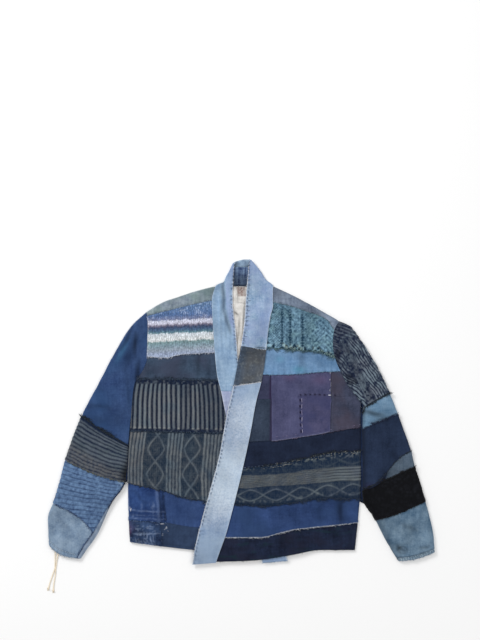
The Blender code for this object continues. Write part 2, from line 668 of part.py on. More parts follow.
def add_knot(name, colour, before, end):
    """A tight oval knot in line with the cord, resting on the floor."""
    way = Vector(end - before).normalized()
    centre = Vector(end) + way * (KNOT_LENGTH / 2 + GAP)
    centre.z = KNOT_RADIUS
    mesh = bmesh.new()
    bmesh.ops.create_uvsphere(mesh, u_segments=10, v_segments=6, radius=KNOT_RADIUS * MM)
    for vert in mesh.verts:
        vert.co.z *= KNOT_LENGTH / 2 / KNOT_RADIUS
    turn = Vector((0, 0, 1)).rotation_difference(Vector((way.x, way.y, 0))).to_matrix().to_4x4()
    bmesh.ops.transform(mesh, matrix=turn, verts=mesh.verts)
    bmesh.ops.translate(mesh, vec=centre * MM, verts=mesh.verts)
    add_object(name, mesh, colour)


def main():
    clear_scene()
    right_front = Lane(RIGHT_SIDE, RIGHT_BAND_SEAM, RIGHT_FRONT_SEAMS)
    left_front = Lane(LEFT_BAND_SEAM, LEFT_SIDE, LEFT_FRONT_SEAMS, over_level)
    right_band = Lane(RIGHT_BAND_EDGE, RIGHT_BAND_SEAM, RIGHT_BAND_SEAMS)
    left_band = Lane(LEFT_BAND_EDGE, LEFT_BAND_SEAM, LEFT_BAND_SEAMS, over_level)
    right_sleeve = Sleeve(RIGHT_SLEEVE_SECTIONS, RIGHT_SIDE)
    left_sleeve = Sleeve(LEFT_SLEEVE_SECTIONS, LEFT_SIDE)
    make_hidden_layers()
    make_right_front(right_front)
    make_left_front(left_front)
    make_bands((right_band, right_front), (left_band, left_front))
    for side_name, sleeve, patches, turn, front, u in (
        ("right", right_sleeve, RIGHT_SLEEVE_PATCHES, right_side_turn, right_front, 0.0),
        ("left", left_sleeve, LEFT_SLEEVE_PATCHES, left_side_turn, left_front, 1.0),
    ):
        levels = [y for y in levels_down(front, u)
                  if sleeve.armpit + ROW_CLEAR < y < sleeve.head - ROW_CLEAR]
        make_sleeve(side_name, sleeve, patches, turn, [sleeve.head, *levels, sleeve.armpit])
    make_drawstring()


main()
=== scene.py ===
"""The looks of the patched boro jacket: its cloths, knits, frayed edges, stitches and drawstring."""
from math import cos, pi, radians, sin

import bpy
import numpy as np
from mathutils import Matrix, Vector


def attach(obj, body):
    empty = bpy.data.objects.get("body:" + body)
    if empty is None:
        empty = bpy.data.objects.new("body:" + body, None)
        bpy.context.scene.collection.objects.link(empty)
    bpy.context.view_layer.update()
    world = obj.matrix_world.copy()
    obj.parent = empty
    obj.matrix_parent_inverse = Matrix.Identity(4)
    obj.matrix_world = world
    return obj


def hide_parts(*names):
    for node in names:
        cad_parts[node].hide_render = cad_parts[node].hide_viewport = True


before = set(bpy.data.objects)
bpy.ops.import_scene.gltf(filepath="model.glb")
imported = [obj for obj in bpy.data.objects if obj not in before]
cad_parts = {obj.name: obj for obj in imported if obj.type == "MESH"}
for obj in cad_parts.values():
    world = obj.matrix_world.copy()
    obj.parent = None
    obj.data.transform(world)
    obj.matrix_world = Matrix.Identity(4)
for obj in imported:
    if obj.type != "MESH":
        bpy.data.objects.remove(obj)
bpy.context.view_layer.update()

MM = 0.001

# ---------------------------------------------------------------- camera, floor and lights
VIEW_CENTRE = (-0.00375, 0.2295)  # metres, what the camera looks straight down at
VIEW_HEIGHT = 1.6  # metres of the floor from the picture's head to its foot
LENS, SENSOR = 85.0, 36.0
FLOOR_HALF = 40.0
FLOOR_GREY = 0.87
SKY_STRENGTH = 0.72
LIGHTS = (
    # name    place in metres     size  power
    ("key",   (-1.9, 1.9, 1.7),   1.1,  62.0),
    ("fill",  (1.6, -0.6, 2.6),   2.0,  16.0),
)


def make_camera():
    data = bpy.data.cameras.new("camera")
    data.lens, data.sensor_width = LENS, SENSOR
    camera = bpy.data.objects.new("camera", data)
    camera.location = (*VIEW_CENTRE, VIEW_HEIGHT * LENS / SENSOR)
    bpy.context.scene.collection.objects.link(camera)
    bpy.context.scene.camera = camera


def make_floor():
    """A plain pale floor, out to the horizon of every view."""
    mesh = bpy.data.meshes.new("floor")
    corners = [(x * FLOOR_HALF, y * FLOOR_HALF, 0) for x, y in ((-1, -1), (1, -1), (1, 1), (-1, 1))]
    mesh.from_pydata(corners, [], [(0, 1, 2, 3)])
    material = bpy.data.materials.new("floor")
    material.use_nodes = True
    shader = material.node_tree.nodes["Principled BSDF"]
    shader.inputs["Base Color"].default_value = (FLOOR_GREY, FLOOR_GREY, FLOOR_GREY, 1)
    shader.inputs["Roughness"].default_value = 0.9
    shader.inputs["Specular IOR Level"].default_value = 0.1
    mesh.materials.append(material)
    floor = bpy.data.objects.new("floor", mesh)
    bpy.context.scene.collection.objects.link(floor)


def make_lights():
    """A white surround, one large soft light from the upper left, and a weaker one that fills."""
    world = bpy.data.worlds.new("studio")
    world.use_nodes = True
    world.node_tree.nodes["Background"].inputs["Color"].default_value = (1, 1, 1, 1)
    world.node_tree.nodes["Background"].inputs["Strength"].default_value = SKY_STRENGTH
    bpy.context.scene.world = world
    bpy.context.scene.view_settings.view_transform = "Standard"
    for name, place, size, power in LIGHTS:
        data = bpy.data.lights.new(name, "AREA")
        data.shape, data.size, data.energy = "DISK", size, power
        light = bpy.data.objects.new(name, data)
        light.location = place
        light.rotation_euler = (-Vector(place)).to_track_quat("-Z", "Y").to_euler()
        bpy.context.scene.collection.objects.link(light)


make_camera()
make_floor()
make_lights()

# ---------------------------------------------------------------- materials
def srgb(r, g, b):
    """A colour of a screen, from 0 to 255, as the shader's own linear one."""
    return tuple(((c / 255 + 0.055) / 1.055) ** 2.4 if c > 10 else c / 255 / 12.92 for c in (r, g, b))


PAINTS = {}  # the finished materials, by name


class Paint:
    """Builds one procedural material from short calls. Object coordinates are metres."""

    def __init__(self, name, sheen=0.05):
        self.name, self.material = name, bpy.data.materials.new(name)
        self.material.use_nodes = True
        self.tree = self.material.node_tree
        self.shader = self.tree.nodes["Principled BSDF"]
        self.shader.inputs["Roughness"].default_value = 0.95
        self.shader.inputs["Specular IOR Level"].default_value = 0.08
        self.shader.inputs["Sheen Weight"].default_value = sheen
        self.shader.inputs["Sheen Roughness"].default_value = 0.5
        self.place = self.tree.nodes.new("ShaderNodeTexCoord").outputs["Object"]

    def join(self, socket, value):
        if hasattr(value, "links") or hasattr(value, "is_linked"):
            self.tree.links.new(value, socket)
        elif hasattr(value, "__len__") and len(value) == 3 and len(socket.default_value) == 4:
            socket.default_value = (*value, 1.0)
        else:
            socket.default_value = value

    def attribute(self, name):
        node = self.tree.nodes.new("ShaderNodeAttribute")
        node.attribute_name = name
        return node.outputs["Fac"]

    def turned(self, angle=0.0, stretch=(1, 1, 1), shift=(0, 0, 0)):
        node = self.tree.nodes.new("ShaderNodeMapping")
        node.inputs["Rotation"].default_value = (0, 0, radians(angle))
        node.inputs["Scale"].default_value = stretch
        node.inputs["Location"].default_value = shift
        self.join(node.inputs["Vector"], self.place)
        return node.outputs["Vector"]

    def noise(self, size, detail=3.0, vector=None, rough=0.6):
        """Noise whose bumps are about size mm, in its own mapping."""
        node = self.tree.nodes.new("ShaderNodeTexNoise")
        node.inputs["Scale"].default_value = 1000 / size
        node.inputs["Detail"].default_value = detail
        node.inputs["Roughness"].default_value = rough
        self.join(node.inputs["Vector"], vector or self.place)
        return node.outputs["Fac"]

    def math(self, kind, a, b=None, c=None, clamp=False):
        node = self.tree.nodes.new("ShaderNodeMath")
        node.operation, node.use_clamp = kind, clamp
        for socket, value in zip(node.inputs, (a, b, c)):
            if value is not None:
                self.join(socket, value)
        return node.outputs[0]

    def spread(self, value, low, high, to_low=0.0, to_high=1.0):
        """A value's range stretched over another, and held inside it."""
        node = self.tree.nodes.new("ShaderNodeMapRange")
        for socket, number in zip(node.inputs[:5], (value, low, high, to_low, to_high)):
            self.join(socket, number)
        return node.outputs[0]

    def mix(self, share, a, b, kind="MIX"):
        node = self.tree.nodes.new("ShaderNodeMix")
        node.data_type, node.blend_type = "RGBA", kind
        for socket, value in zip((node.inputs[0], node.inputs[6], node.inputs[7]), (share, a, b)):
            self.join(socket, value)
        return node.outputs[2]

    def ramp(self, value, stops):
        node = self.tree.nodes.new("ShaderNodeValToRGB")
        ramp = node.color_ramp
        for at, colour in stops[2:]:
            ramp.elements.new(at)
        for element, (at, colour) in zip(ramp.elements, sorted(stops)):
            element.position, element.color = at, (*colour, 1.0)
        self.join(node.inputs["Fac"], value)
        return node.outputs["Color"]

    def grey(self, value):
        node = self.tree.nodes.new("ShaderNodeCombineColor")
        for socket in node.inputs:
            self.join(socket, value)
        return node.outputs["Color"]

    def sway(self, value, strength, base, clamp=False):
        """The base, moved by how far a value from 0 to 1 lies from its middle."""
        return self.math("MULTIPLY_ADD", self.math("SUBTRACT", value, 0.5), strength, base, clamp)

    def rub(self, colour, grains, low, high, worn, least=0.0):
        """The worn colour where the cloth is worn, broken up by the grains."""
        broken = self.spread(grains, low, high, least, 1.0)
        share = self.math("MULTIPLY", self.attribute("worn"), broken, clamp=True)
        return self.mix(share, colour, srgb(*worn))

    def finish_cloth(self, colour, bump, height):
        """Finishes a cloth. Its colour is multiplied by the shade attribute: painted shade and painted light
        in creases, folds, gaps and beside edges, and some lighter and darker areas of the cloth's own
        colour.
        """
        shade = self.grey(self.attribute("shade"))
        self.finish(self.mix(1.0, colour, shade, "MULTIPLY"), bump, height)

    def finish(self, colour, bump, height):
        """Joins the colour and the fine bump, whose height is in metres, to the shader."""
        self.join(self.shader.inputs["Base Color"], colour)
        node = self.tree.nodes.new("ShaderNodeBump")
        node.inputs["Strength"].default_value = 1.0
        node.inputs["Distance"].default_value = height
        self.join(node.inputs["Height"], bump)
        self.join(self.shader.inputs["Normal"], node.outputs["Normal"])
        PAINTS[self.name] = self.material


def denim(name, dark, light, worn=(200, 208, 216), angle=0.0, mottle=0.6, streak=0.5, grain=0.7,
          patch=34.0, centre=0.45, tint=None, accent=None):
    """Worn woven cotton: cloudy fading, slubs along the warp, pale grains and twill. The accent
    colour shows where the cloth's tone is high, the tint in patches all over."""
    paint = Paint(name, sheen=0.04)
    warp = paint.turned(angle, (1.0, 0.09, 1.0))
    weft = paint.turned(angle, (0.09, 1.0, 1.0), (3, 1, 2))
    clouds = paint.noise(patch, 5.0, rough=0.65)
    slubs = paint.noise(6.0, 4.0, warp, 0.7)
    cross = paint.noise(6.5, 4.0, weft, 0.7)
    grains = paint.noise(4.2, 3.0, rough=0.7)
    fade = paint.sway(clouds, mottle * 2.2, centre)
    fade = paint.sway(slubs, streak, fade)
    fade = paint.sway(cross, streak * 0.6, fade)
    fade = paint.sway(grains, grain, fade, clamp=True)
    colour = paint.mix(fade, srgb(*dark), srgb(*light))
    if tint:
        drift = paint.noise(patch * 1.7, 2.0, paint.turned(shift=(5, 7, 1)))
        share = paint.math("MULTIPLY", paint.spread(drift, 0.42, 0.62), 0.65)
        colour = paint.mix(share, colour, srgb(*tint))
    if accent:
        tone = paint.attribute("tone")
        share = paint.math("MULTIPLY", tone, paint.sway(grains, 0.5, tone), clamp=True)
        colour = paint.mix(share, colour, srgb(*accent))
    colour = paint.rub(colour, grains, 0.3, 0.6, worn, 0.35)
    twill = paint.tree.nodes.new("ShaderNodeTexWave")
    twill.inputs["Scale"].default_value = 190.0
    twill.inputs["Distortion"].default_value = 1.2
    paint.join(twill.inputs["Vector"], paint.turned(angle + 55))
    bump = paint.math("MULTIPLY_ADD", twill.outputs["Fac"], 0.45, paint.math("ADD", slubs, grains))
    paint.finish_cloth(colour, bump, 0.00045)


def knit(name, trough, crest, angle=0.0, fleck=0.5, worn=(190, 190, 180), tint=None):
    """Yarn in two colours: the trough's, and the crest's where the tone attribute is high. The tint
    takes the crest's place in patches."""
    paint = Paint(name, sheen=0.08)
    stitches = paint.noise(3.2, 2.0, paint.turned(angle, (1.0, 0.55, 1.0)))
    fuzz = paint.noise(1.7, 2.0)
    tone = paint.sway(stitches, fleck, paint.attribute("tone"))
    tone = paint.sway(fuzz, fleck * 0.8, tone, clamp=True)
    colour = paint.mix(tone, srgb(*trough), srgb(*crest))
    if tint:
        drift = paint.noise(46.0, 2.0, paint.turned(shift=(2, 4, 1)))
        share = paint.math("MULTIPLY", paint.spread(drift, 0.44, 0.6), 0.6)
        colour = paint.mix(share, colour, paint.mix(tone, srgb(*trough), srgb(*tint)))
    colour = paint.rub(colour, fuzz, 0.35, 0.6, worn)
    paint.finish_cloth(colour, paint.math("ADD", stitches, fuzz), 0.0009)


def striped(name, stops):
    """The marled knit: stripes by the tone attribute, broken up into stitches. A stop is how many mm
    it lies below the first white stripe's head, and its colour."""
    paint = Paint(name, sheen=0.08)
    stitches = paint.noise(3.4, 2.0, paint.turned(0, (1.3, 0.42, 1.0)))
    flecks = paint.noise(2.4, 1.0, paint.turned(0, (1.0, 0.6, 1.0), (4, 2, 1)))
    at = paint.sway(stitches, 0.05, paint.attribute("tone"))
    low, high = STRIPE_SPAN
    colour = paint.ramp(at, [((below - low) / (high - low), srgb(*c)) for below, c in stops])
    marl = paint.spread(flecks, 0.36, 0.66, 0.70, 1.26)
    colour = paint.mix(1.0, colour, paint.grey(marl), "MULTIPLY")
    colour = paint.rub(colour, flecks, 0.35, 0.55, (225, 228, 232))
    paint.finish_cloth(colour, paint.math("ADD", stitches, flecks), 0.0009)


def thread(name, dark, light):
    """Loose yarn, each strand its own shade by the tone attribute."""
    paint = Paint(name)
    tone = paint.sway(paint.noise(2.0, 2.0), 0.5, paint.attribute("tone"), clamp=True)
    paint.finish_cloth(paint.mix(tone, srgb(*dark), srgb(*light)), paint.noise(0.8, 1.0), 0.0003)


# ---------------------------------------------------------------- sizes that the part has too, in mm
BACK_WALL = 2.0
PATCH_WALL = 2.4
BAND_WALL = 3.0
APPLIED_WALL = 1.2  # of the patch sewn on the purple denim
COLLAR_WALL = 3.0
LINING_WALL = 1.0
GAP = 0.3  # between one layer and the next
UNDER_LEVEL = 3.6  # the underside of the fronts, clear of the back panel
OVER_LEVEL = 6.5  # the underside of the left front where it rides over the right band
LAP_CLEAR = 25.0  # how far past the right band's edge it keeps that level
LAP_FALL = 60.0  # how far it takes to come down
EDGE_RADIUS = 6.0  # of a turned edge


def curve(points):
    """A smooth curve through (at, value) points that never swings past them."""
    at, value = (np.array(column, float) for column in zip(*sorted(points)))
    step = np.diff(at)
    rise = np.diff(value) / step
    slope = np.zeros(len(at))
    slope[0], slope[-1] = rise[0], rise[-1]
    for k in range(1, len(rise)):
        if rise[k - 1] * rise[k] > 0:
            slope[k] = 2 * rise[k - 1] * rise[k] / (rise[k - 1] + rise[k])

    def read(where):
        where = np.clip(where, at[0], at[-1])
        k = np.clip(np.searchsorted(at, where, side="right") - 1, 0, len(step) - 1)
        t = (where - at[k]) / step[k]
        ends = value[k] * (1 + 2 * t) * (1 - t) ** 2 + value[k + 1] * t * t * (3 - 2 * t)
        pull = slope[k] * t * (1 - t) ** 2 - slope[k + 1] * t * t * (1 - t)
        return ends + pull * step[k]

    return read


def held(t):
    return np.clip(t, 0.0, 1.0)


def smooth(t):
    """An even S-curve from 0 at t = 0 to 1 at t = 1."""
    t = held(t)
    return t * t * (3 - 2 * t)


# Edges of the body, as (y, x).
RIGHT_SIDE = (
    (249, -238), (225, -232), (140, -234), (110, -243), (86, -258), (70, -267), (38, -272),
    (-14, -276), (-53, -279), (-174, -284), (-270, -282), (-325, -279),
)
LEFT_SIDE = (
    (227, 244), (210, 234), (191, 229), (168, 228), (144, 231), (127, 236), (106, 245), (84, 255),
    (61, 269), (40, 285), (23, 298), (-170, 298), (-275, 291), (-345, 284),
)
# The bands' edges, as (y, x): the edge sewn to the front, and the free edge.
RIGHT_BAND_SEAM = (
    (380, -17), (373, -21), (363, -26), (352, -31), (339, -38.5), (327, -44), (314, -64), (277, -74),
    (226, -72), (150, -67), (92, -61), (51, -51), (-3, -40), (-375, 52),
)
RIGHT_BAND_EDGE = (
    (380, -17), (373, -17.5), (345, -20), (277, -22), (240, -19), (205, -14.5), (166, -11.5), (137, -9.5),
    (51, 12), (-3, 25), (-375, 117),
)
LEFT_BAND_SEAM = (
    (381, 23.5), (372, 31), (352, 47.5), (330, 62), (313, 81), (265, 81), (240, 75), (194, 68), (163, 65),
    (107, 58), (72, 51), (30, 40), (-61, 23), (-152, 3), (-229, -16), (-307, -37), (-349, -52), (-375, -61),
)
LEFT_BAND_EDGE = (
    (381, 20), (300, 12), (208, 5), (163, -2), (63, -21), (-7, -37), (-110, -56), (-193, -78),
    (-276, -101), (-343, -117), (-381, -123),
)

# Seams across the fronts: y at five even stations.
RIGHT_FRONT_SEAMS = (
    # name            side                     band
    ("shoulder",      (249, 273, 288, 302, 314)),
    ("yoke_foot",     (239, 249, 259, 269, 277)),
    ("striped_foot",  (139, 136, 144, 147, 150)),
    ("slate_foot",    (80, 80, 79, 78, 76)),
    ("ribbed_foot",   (-45, -46, -48, -49, -50)),
    ("cable_foot",    (-174, -190, -212, -226, -232)),
    ("blue_foot",     (-269, -274, -287, -292, -294)),
    ("hem",           (-325, -336, -345, -352, -358)),
)
LEFT_FRONT_SEAMS = (
    # name            band                     side
    ("shoulder",      (313, 294, 273, 251, 227)),
    ("yoke_foot",     (272, 263, 250, 236, 203)),
    ("teal_foot",     (163, 160, 155, 154, 137)),
    ("sky_foot",      (94, 94, 97, 101, 103)),
    ("plum_break",    (32, 33, 36, 38, 40)),
    ("purple_foot",   (-74, -70, -60, -48, -36)),
    ("navy_foot",     (-141, -132, -117, -102, -97)),
    ("cable_foot",    (-229, -233, -223, -213, -215)),
    ("blue_foot",     (-312, -312, -293, -284, -275)),
    ("hem",           (-374, -371, -359, -345, -345)),
)
# Seams across the bands: y at the free edge and at the sewn one.
RIGHT_BAND_SEAMS = (
    # name            (free edge, sewn edge)
    ("collar_end",    (372, 372)),
    ("lilac_head",    (50, 52)),
    ("lilac_foot",    (-60, -52)),
    ("hem",           (-372, -377)),
)
LEFT_BAND_SEAMS = (
    # name            (free edge, sewn edge)
    ("collar_end",    (379, 379)),
    ("dark_head",     (159, 150)),
    ("dark_foot",     (64, 75)),
    ("hem",           (-381, -376)),
)

# Sections down the sleeves, from the armhole to the cuff: the outer and inner ends, how far the seam
# bows towards +Y in the middle and swings at its quarters, and the height of the upper cloth.
RIGHT_SLEEVE_SECTIONS = (
    # name            outer x, y    inner x, y    bow  swing  top
    ("armhole",       -238, 249,    -276, -14,      0,   0,  6.0),
    ("head",          -273, 217,    -277, -24,      0,   0,  6.6),
    ("upper_arm",     -324, 134,    -279, -45,      2,   0,  7.4),
    ("above_elbow",   -359, 67,     -280, -62,      4,   0,  8.0),
    ("blue_foot",     -400, -11,    -283, -84,     -4,   0,  8.2),
    ("ribbed_foot",   -440, -117,   -290, -172,    -8,   0,  8.2),
    ("below_elbow",   -454, -172,   -325, -230,     4,   0,  8.1),
    ("knit_foot",     -470, -225,   -362, -309,    15,  -2,  8.0),
    ("wrist",         -484, -266,   -386, -343,     4,  -3,  7.8),
    ("cuff",          -481, -333,   -402, -367,   -10,  -2,  7.6),
)
LEFT_SLEEVE_SECTIONS = (
    # name            outer x, y    inner x, y    bow  swing  top
    ("armhole",       244, 227,     298, 23,        0,   0,  6.0),
    ("head",          268, 217,     300, 21,        0,   0,  6.6),
    ("upper_arm",     301, 175,     302, 19,        0,   0,  7.4),
    ("above_elbow",   337, 117,     303, 17,        0,   0,  8.0),
    ("cable_foot",    369, 50,      304, 15,        1,   0,  8.2),
    ("sky_foot",      392, -8,      302, -46,       1,   0,  8.2),
    ("navy_foot",     424, -99,     303, -192,     -6,   9,  8.2),
    ("grey_foot",     434, -138,    302, -199,      0,   0,  8.0),
    ("black_middle",  448, -180,    303, -221,      0,   0,  8.0),
    ("black_foot",    459, -220,    333, -268,     -5,   0,  8.0),
    ("wrist",         479, -304,    366, -331,     -4,   0,  7.8),
    ("cuff",          483, -350,    391, -372,     -6,   0,  7.6),
)
EDGE_STRIP_WIDTH = 9.0  # of the under sleeve that comes round to the front below the right elbow


def beside_line(x, y, x0, y0, x1, y1):
    """How far along a line each place lies, from 0 to 1, and how many mm to its side."""
    run_x, run_y = x1 - x0, y1 - y0
    length = (run_x**2 + run_y**2) ** 0.5
    along = ((x - x0) * run_x + (y - y0) * run_y) / length**2
    aside = ((x - x0) * run_y - (y - y0) * run_x) / length
    return along, aside


def hump(distance, half):
    """A rounded line's height: 1 on it, and fading about half mm away."""
    return np.exp(-((distance / half) ** 2))


def fold(rise, along, aside, half, fade):
    """One fold's height. It fades out towards its ends, later the smaller fade is."""
    return rise * np.sin(pi * held(along)) ** fade * hump(aside, half)


# Soft folds in the upper cloth: ends of the crest, its half width and how far it rises or sinks.
FOLDS = (
    # name              x0,   y0,    x1,   y1, half, rise
    ("right_armhole",  -262,  205,  -262,   70,  13,  1.1),
    ("right_elbow_a",  -392,   20,  -300,  -20,  14,  1.2),
    ("right_elbow_b",  -372,   52,  -292,   12,  11, -0.9),
    ("right_wrist",    -472, -262,  -400, -300,  12,  1.0),
    ("right_body_a",   -262,  -60,  -225, -150,  15,  0.8),
    ("right_body_b",   -250, -235,  -205, -300,  16, -0.8),
    ("left_armhole",    262,  190,   285,   60,  13,  1.0),
    ("left_elbow",      392,  -62,   322, -105,  14,  1.1),
    ("left_forearm",    445, -250,   380, -300,  13,  1.2),
    ("left_body_a",     262,  -62,   205, -150,  16,  0.9),
    ("left_body_b",     250, -240,   190, -300,  17, -0.8),
)


def fold_height(x, y):
    """How far the folds lift the upper cloth at a place."""
    lift = np.zeros(np.shape(x))
    for _, *line, half, rise in FOLDS:
        lift = lift + fold(rise, *beside_line(x, y, *line), half, 0.8)
    return lift


right_band_edge = curve(RIGHT_BAND_EDGE)


def under_level(x, y):
    return UNDER_LEVEL + fold_height(x, y)


def over_level(x, y):
    """The left front and band ride over the right band's edge, then come down to the back."""
    past = x - right_band_edge(y) - LAP_CLEAR
    return OVER_LEVEL + (UNDER_LEVEL - OVER_LEVEL) * smooth(past / LAP_FALL) + fold_height(x, y)


# ---------------------------------------------------------------- noise that is the same each run
def lattice(i, j, seed):
    """A value from 0 to 1 for each whole-numbered place."""
    n = (i * 374761393 + j * 668265263 + seed * 2147483647) & 0xFFFFFFFF
    n = ((n ^ (n >> 13)) * 1274126177) & 0xFFFFFFFF
    return ((n ^ (n >> 16)) & 0xFFFF) / 65535.0


def noise(x, y, size, seed=0):
    """Smooth noise from -1 to 1 whose bumps are about size mm across."""
    x, y = np.asarray(x, float) / size, np.asarray(y, float) / size
    i, j = np.floor(x).astype(np.int64), np.floor(y).astype(np.int64)
    fx, fy = smooth(x - i), smooth(y - j)
    low = lattice(i, j, seed) * (1 - fx) + lattice(i + 1, j, seed) * fx
    high = lattice(i, j + 1, seed) * (1 - fx) + lattice(i + 1, j + 1, seed) * fx
    return 2 * (low * (1 - fy) + high * fy) - 1


def rough(x, y, size, seed=0, octaves=3):
    """Noise with finer noise on it."""
    return sum(noise(x, y, size / 2**k, seed + 17 * k) / 2**k for k in range(octaves)) / 1.6


def spots(x, y, size, seed, least, gain):
    """Scattered spots: 1 where noise rises well above its least value, and 0 below that. gain
    sharpens their edges."""
    return smooth((noise(x, y, size, seed) - least) * gain)


# ---------------------------------------------------------------- lanes of cloth
class Lane:
    """Cloth between two edges, given as x by y, crossed by seams that hold y at even stations."""

    def __init__(self, start, end, seams, underside=under_level):
        self.start, self.end, self.underside = curve(start), curve(end), underside
        self.names = [seam[0] for seam in seams]
        self.seams = [curve(zip(np.linspace(0, 1, len(seam[1])), seam[1])) for seam in seams]

    def place(self, u, v):
        """The plan position at u across and v seams down."""
        u, v = np.broadcast_arrays(np.asarray(u, float), np.asarray(v, float))
        k = np.clip(np.floor(v).astype(int), 0, len(self.seams) - 2)
        levels = np.array([seam(u) for seam in self.seams])
        upper = np.take_along_axis(levels, k[None], 0)[0]
        lower = np.take_along_axis(levels, k[None] + 1, 0)[0]
        y = upper + (lower - upper) * (v - k)
        x = self.start(y) * (1 - u) + self.end(y) * u
        return x, y

    def height(self, u, v, wall):
        return self.underside(*self.place(u, v)) + wall


class Sleeve:
    """Cloth from an armhole, where it follows the body's side edge, down to the cuff."""

    ARMHOLE_FADE = 3.0

    def __init__(self, sections, side):
        self.names = [section[0] for section in sections]
        columns = list(zip(*(section[1:] for section in sections)))
        self.outer_x, self.outer_y, self.inner_x, self.inner_y, self.bow, self.swing, self.top = (
            curve(enumerate(column)) for column in columns
        )
        self.side = curve(side)
        self.head, self.armpit = columns[1][0], columns[3][0]

    def place(self, u, v):
        u, v = np.broadcast_arrays(np.asarray(u, float), np.asarray(v, float))
        x = self.outer_x(v) * (1 - u) + self.inner_x(v) * u
        y = self.outer_y(v) * (1 - u) + self.inner_y(v) * u
        hole_y = self.head + (self.armpit - self.head) * u
        hole_x = self.side(hole_y) - (self.side(self.head) * (1 - u) + self.side(self.armpit) * u)
        x = x + hole_x * held(1 - v / self.ARMHOLE_FADE) ** 1.5
        y = y + self.bow(v) * np.sin(pi * u) + self.swing(v) * np.sin(2 * pi * u)
        return x, y

    def height(self, u, v, wall):
        return self.top(v) - PATCH_WALL + wall + fold_height(*self.place(u, v))


def mm_per_unit(lane, u, v, across):
    """How many mm the lane covers for one unit of u, or of v, at each point."""
    step = 1e-3
    x0, y0 = lane.place(u - step * across, v - step * (1 - across))
    x1, y1 = lane.place(u + step * across, v + step * (1 - across))
    return np.hypot(x1 - x0, y1 - y0) / (2 * step)


# ---------------------------------------------------------------- the fine cloth
CELL = 2.5  # mm between the points of woven cloth
KNIT_CELL = 1.9
BAND_CELL = 2.1
FINE_CELL = 1.8  # of the small cloths at the neck
PLAIN_CELL = 7.0  # of the layers that lie face down
LAP_WALL = 0.8  # of a raw edge where it lies on its neighbour
LAP_LIFT = 1.1
TUCK = 0.5  # how deep a sewn-down edge sinks
ROLL_POINTS = 5
OUT_REACH, BACK_REACH = 9.0, 3.0  # how far in from an edge the cloth moves with it, out or back
LAP_WIDTH, TUCK_WIDTH, SEAM_WIDTH = 6.0, 5.0, 3.5  # over which it rises on a lap, or sinks to a seam


class Edge:
    """One edge of a cloth. lap is how many mm it lies over its neighbour, or under it if below zero.
    turn is None, or a function of y that says how strongly the edge turns down to the floor. wave is
    how many mm its cut line wanders. out is how far the cloth runs past its seam, where that isn't
    the lap."""

    def __init__(self, lap=0.0, turn=None, wave=0.0, out=None):
        self.lap, self.turn, self.wave = lap, turn, wave
        self.out = out if out is not None else lap if lap > 0 else -GAP / 2


def turned(y):
    return np.ones(np.shape(y))


def side_turn(armpit):
    return lambda y: smooth((armpit - y) / 35.0)


def neck_turn(y):
    return smooth((y - 308) / 17.5)


def shares_along(length, cell, edge_start, edge_end):
    """Even places along a length in mm, from 0 to 1, closer together round a turned edge."""
    places = list(np.linspace(0, length, max(3, int(round(length / cell)) + 1)))
    for edge, at in ((edge_start, 0), (edge_end, 1)):
        if edge.turn is None:
            continue
        ring = [EDGE_RADIUS * (1 - cos(radians(a))) for a in np.linspace(0, 90, ROLL_POINTS + 1)]
        near = [d if at == 0 else length - d for d in ring]
        places = [p for p in places if (p if at == 0 else length - p) > EDGE_RADIUS + 0.8] + near
    return np.array(sorted(places)) / length


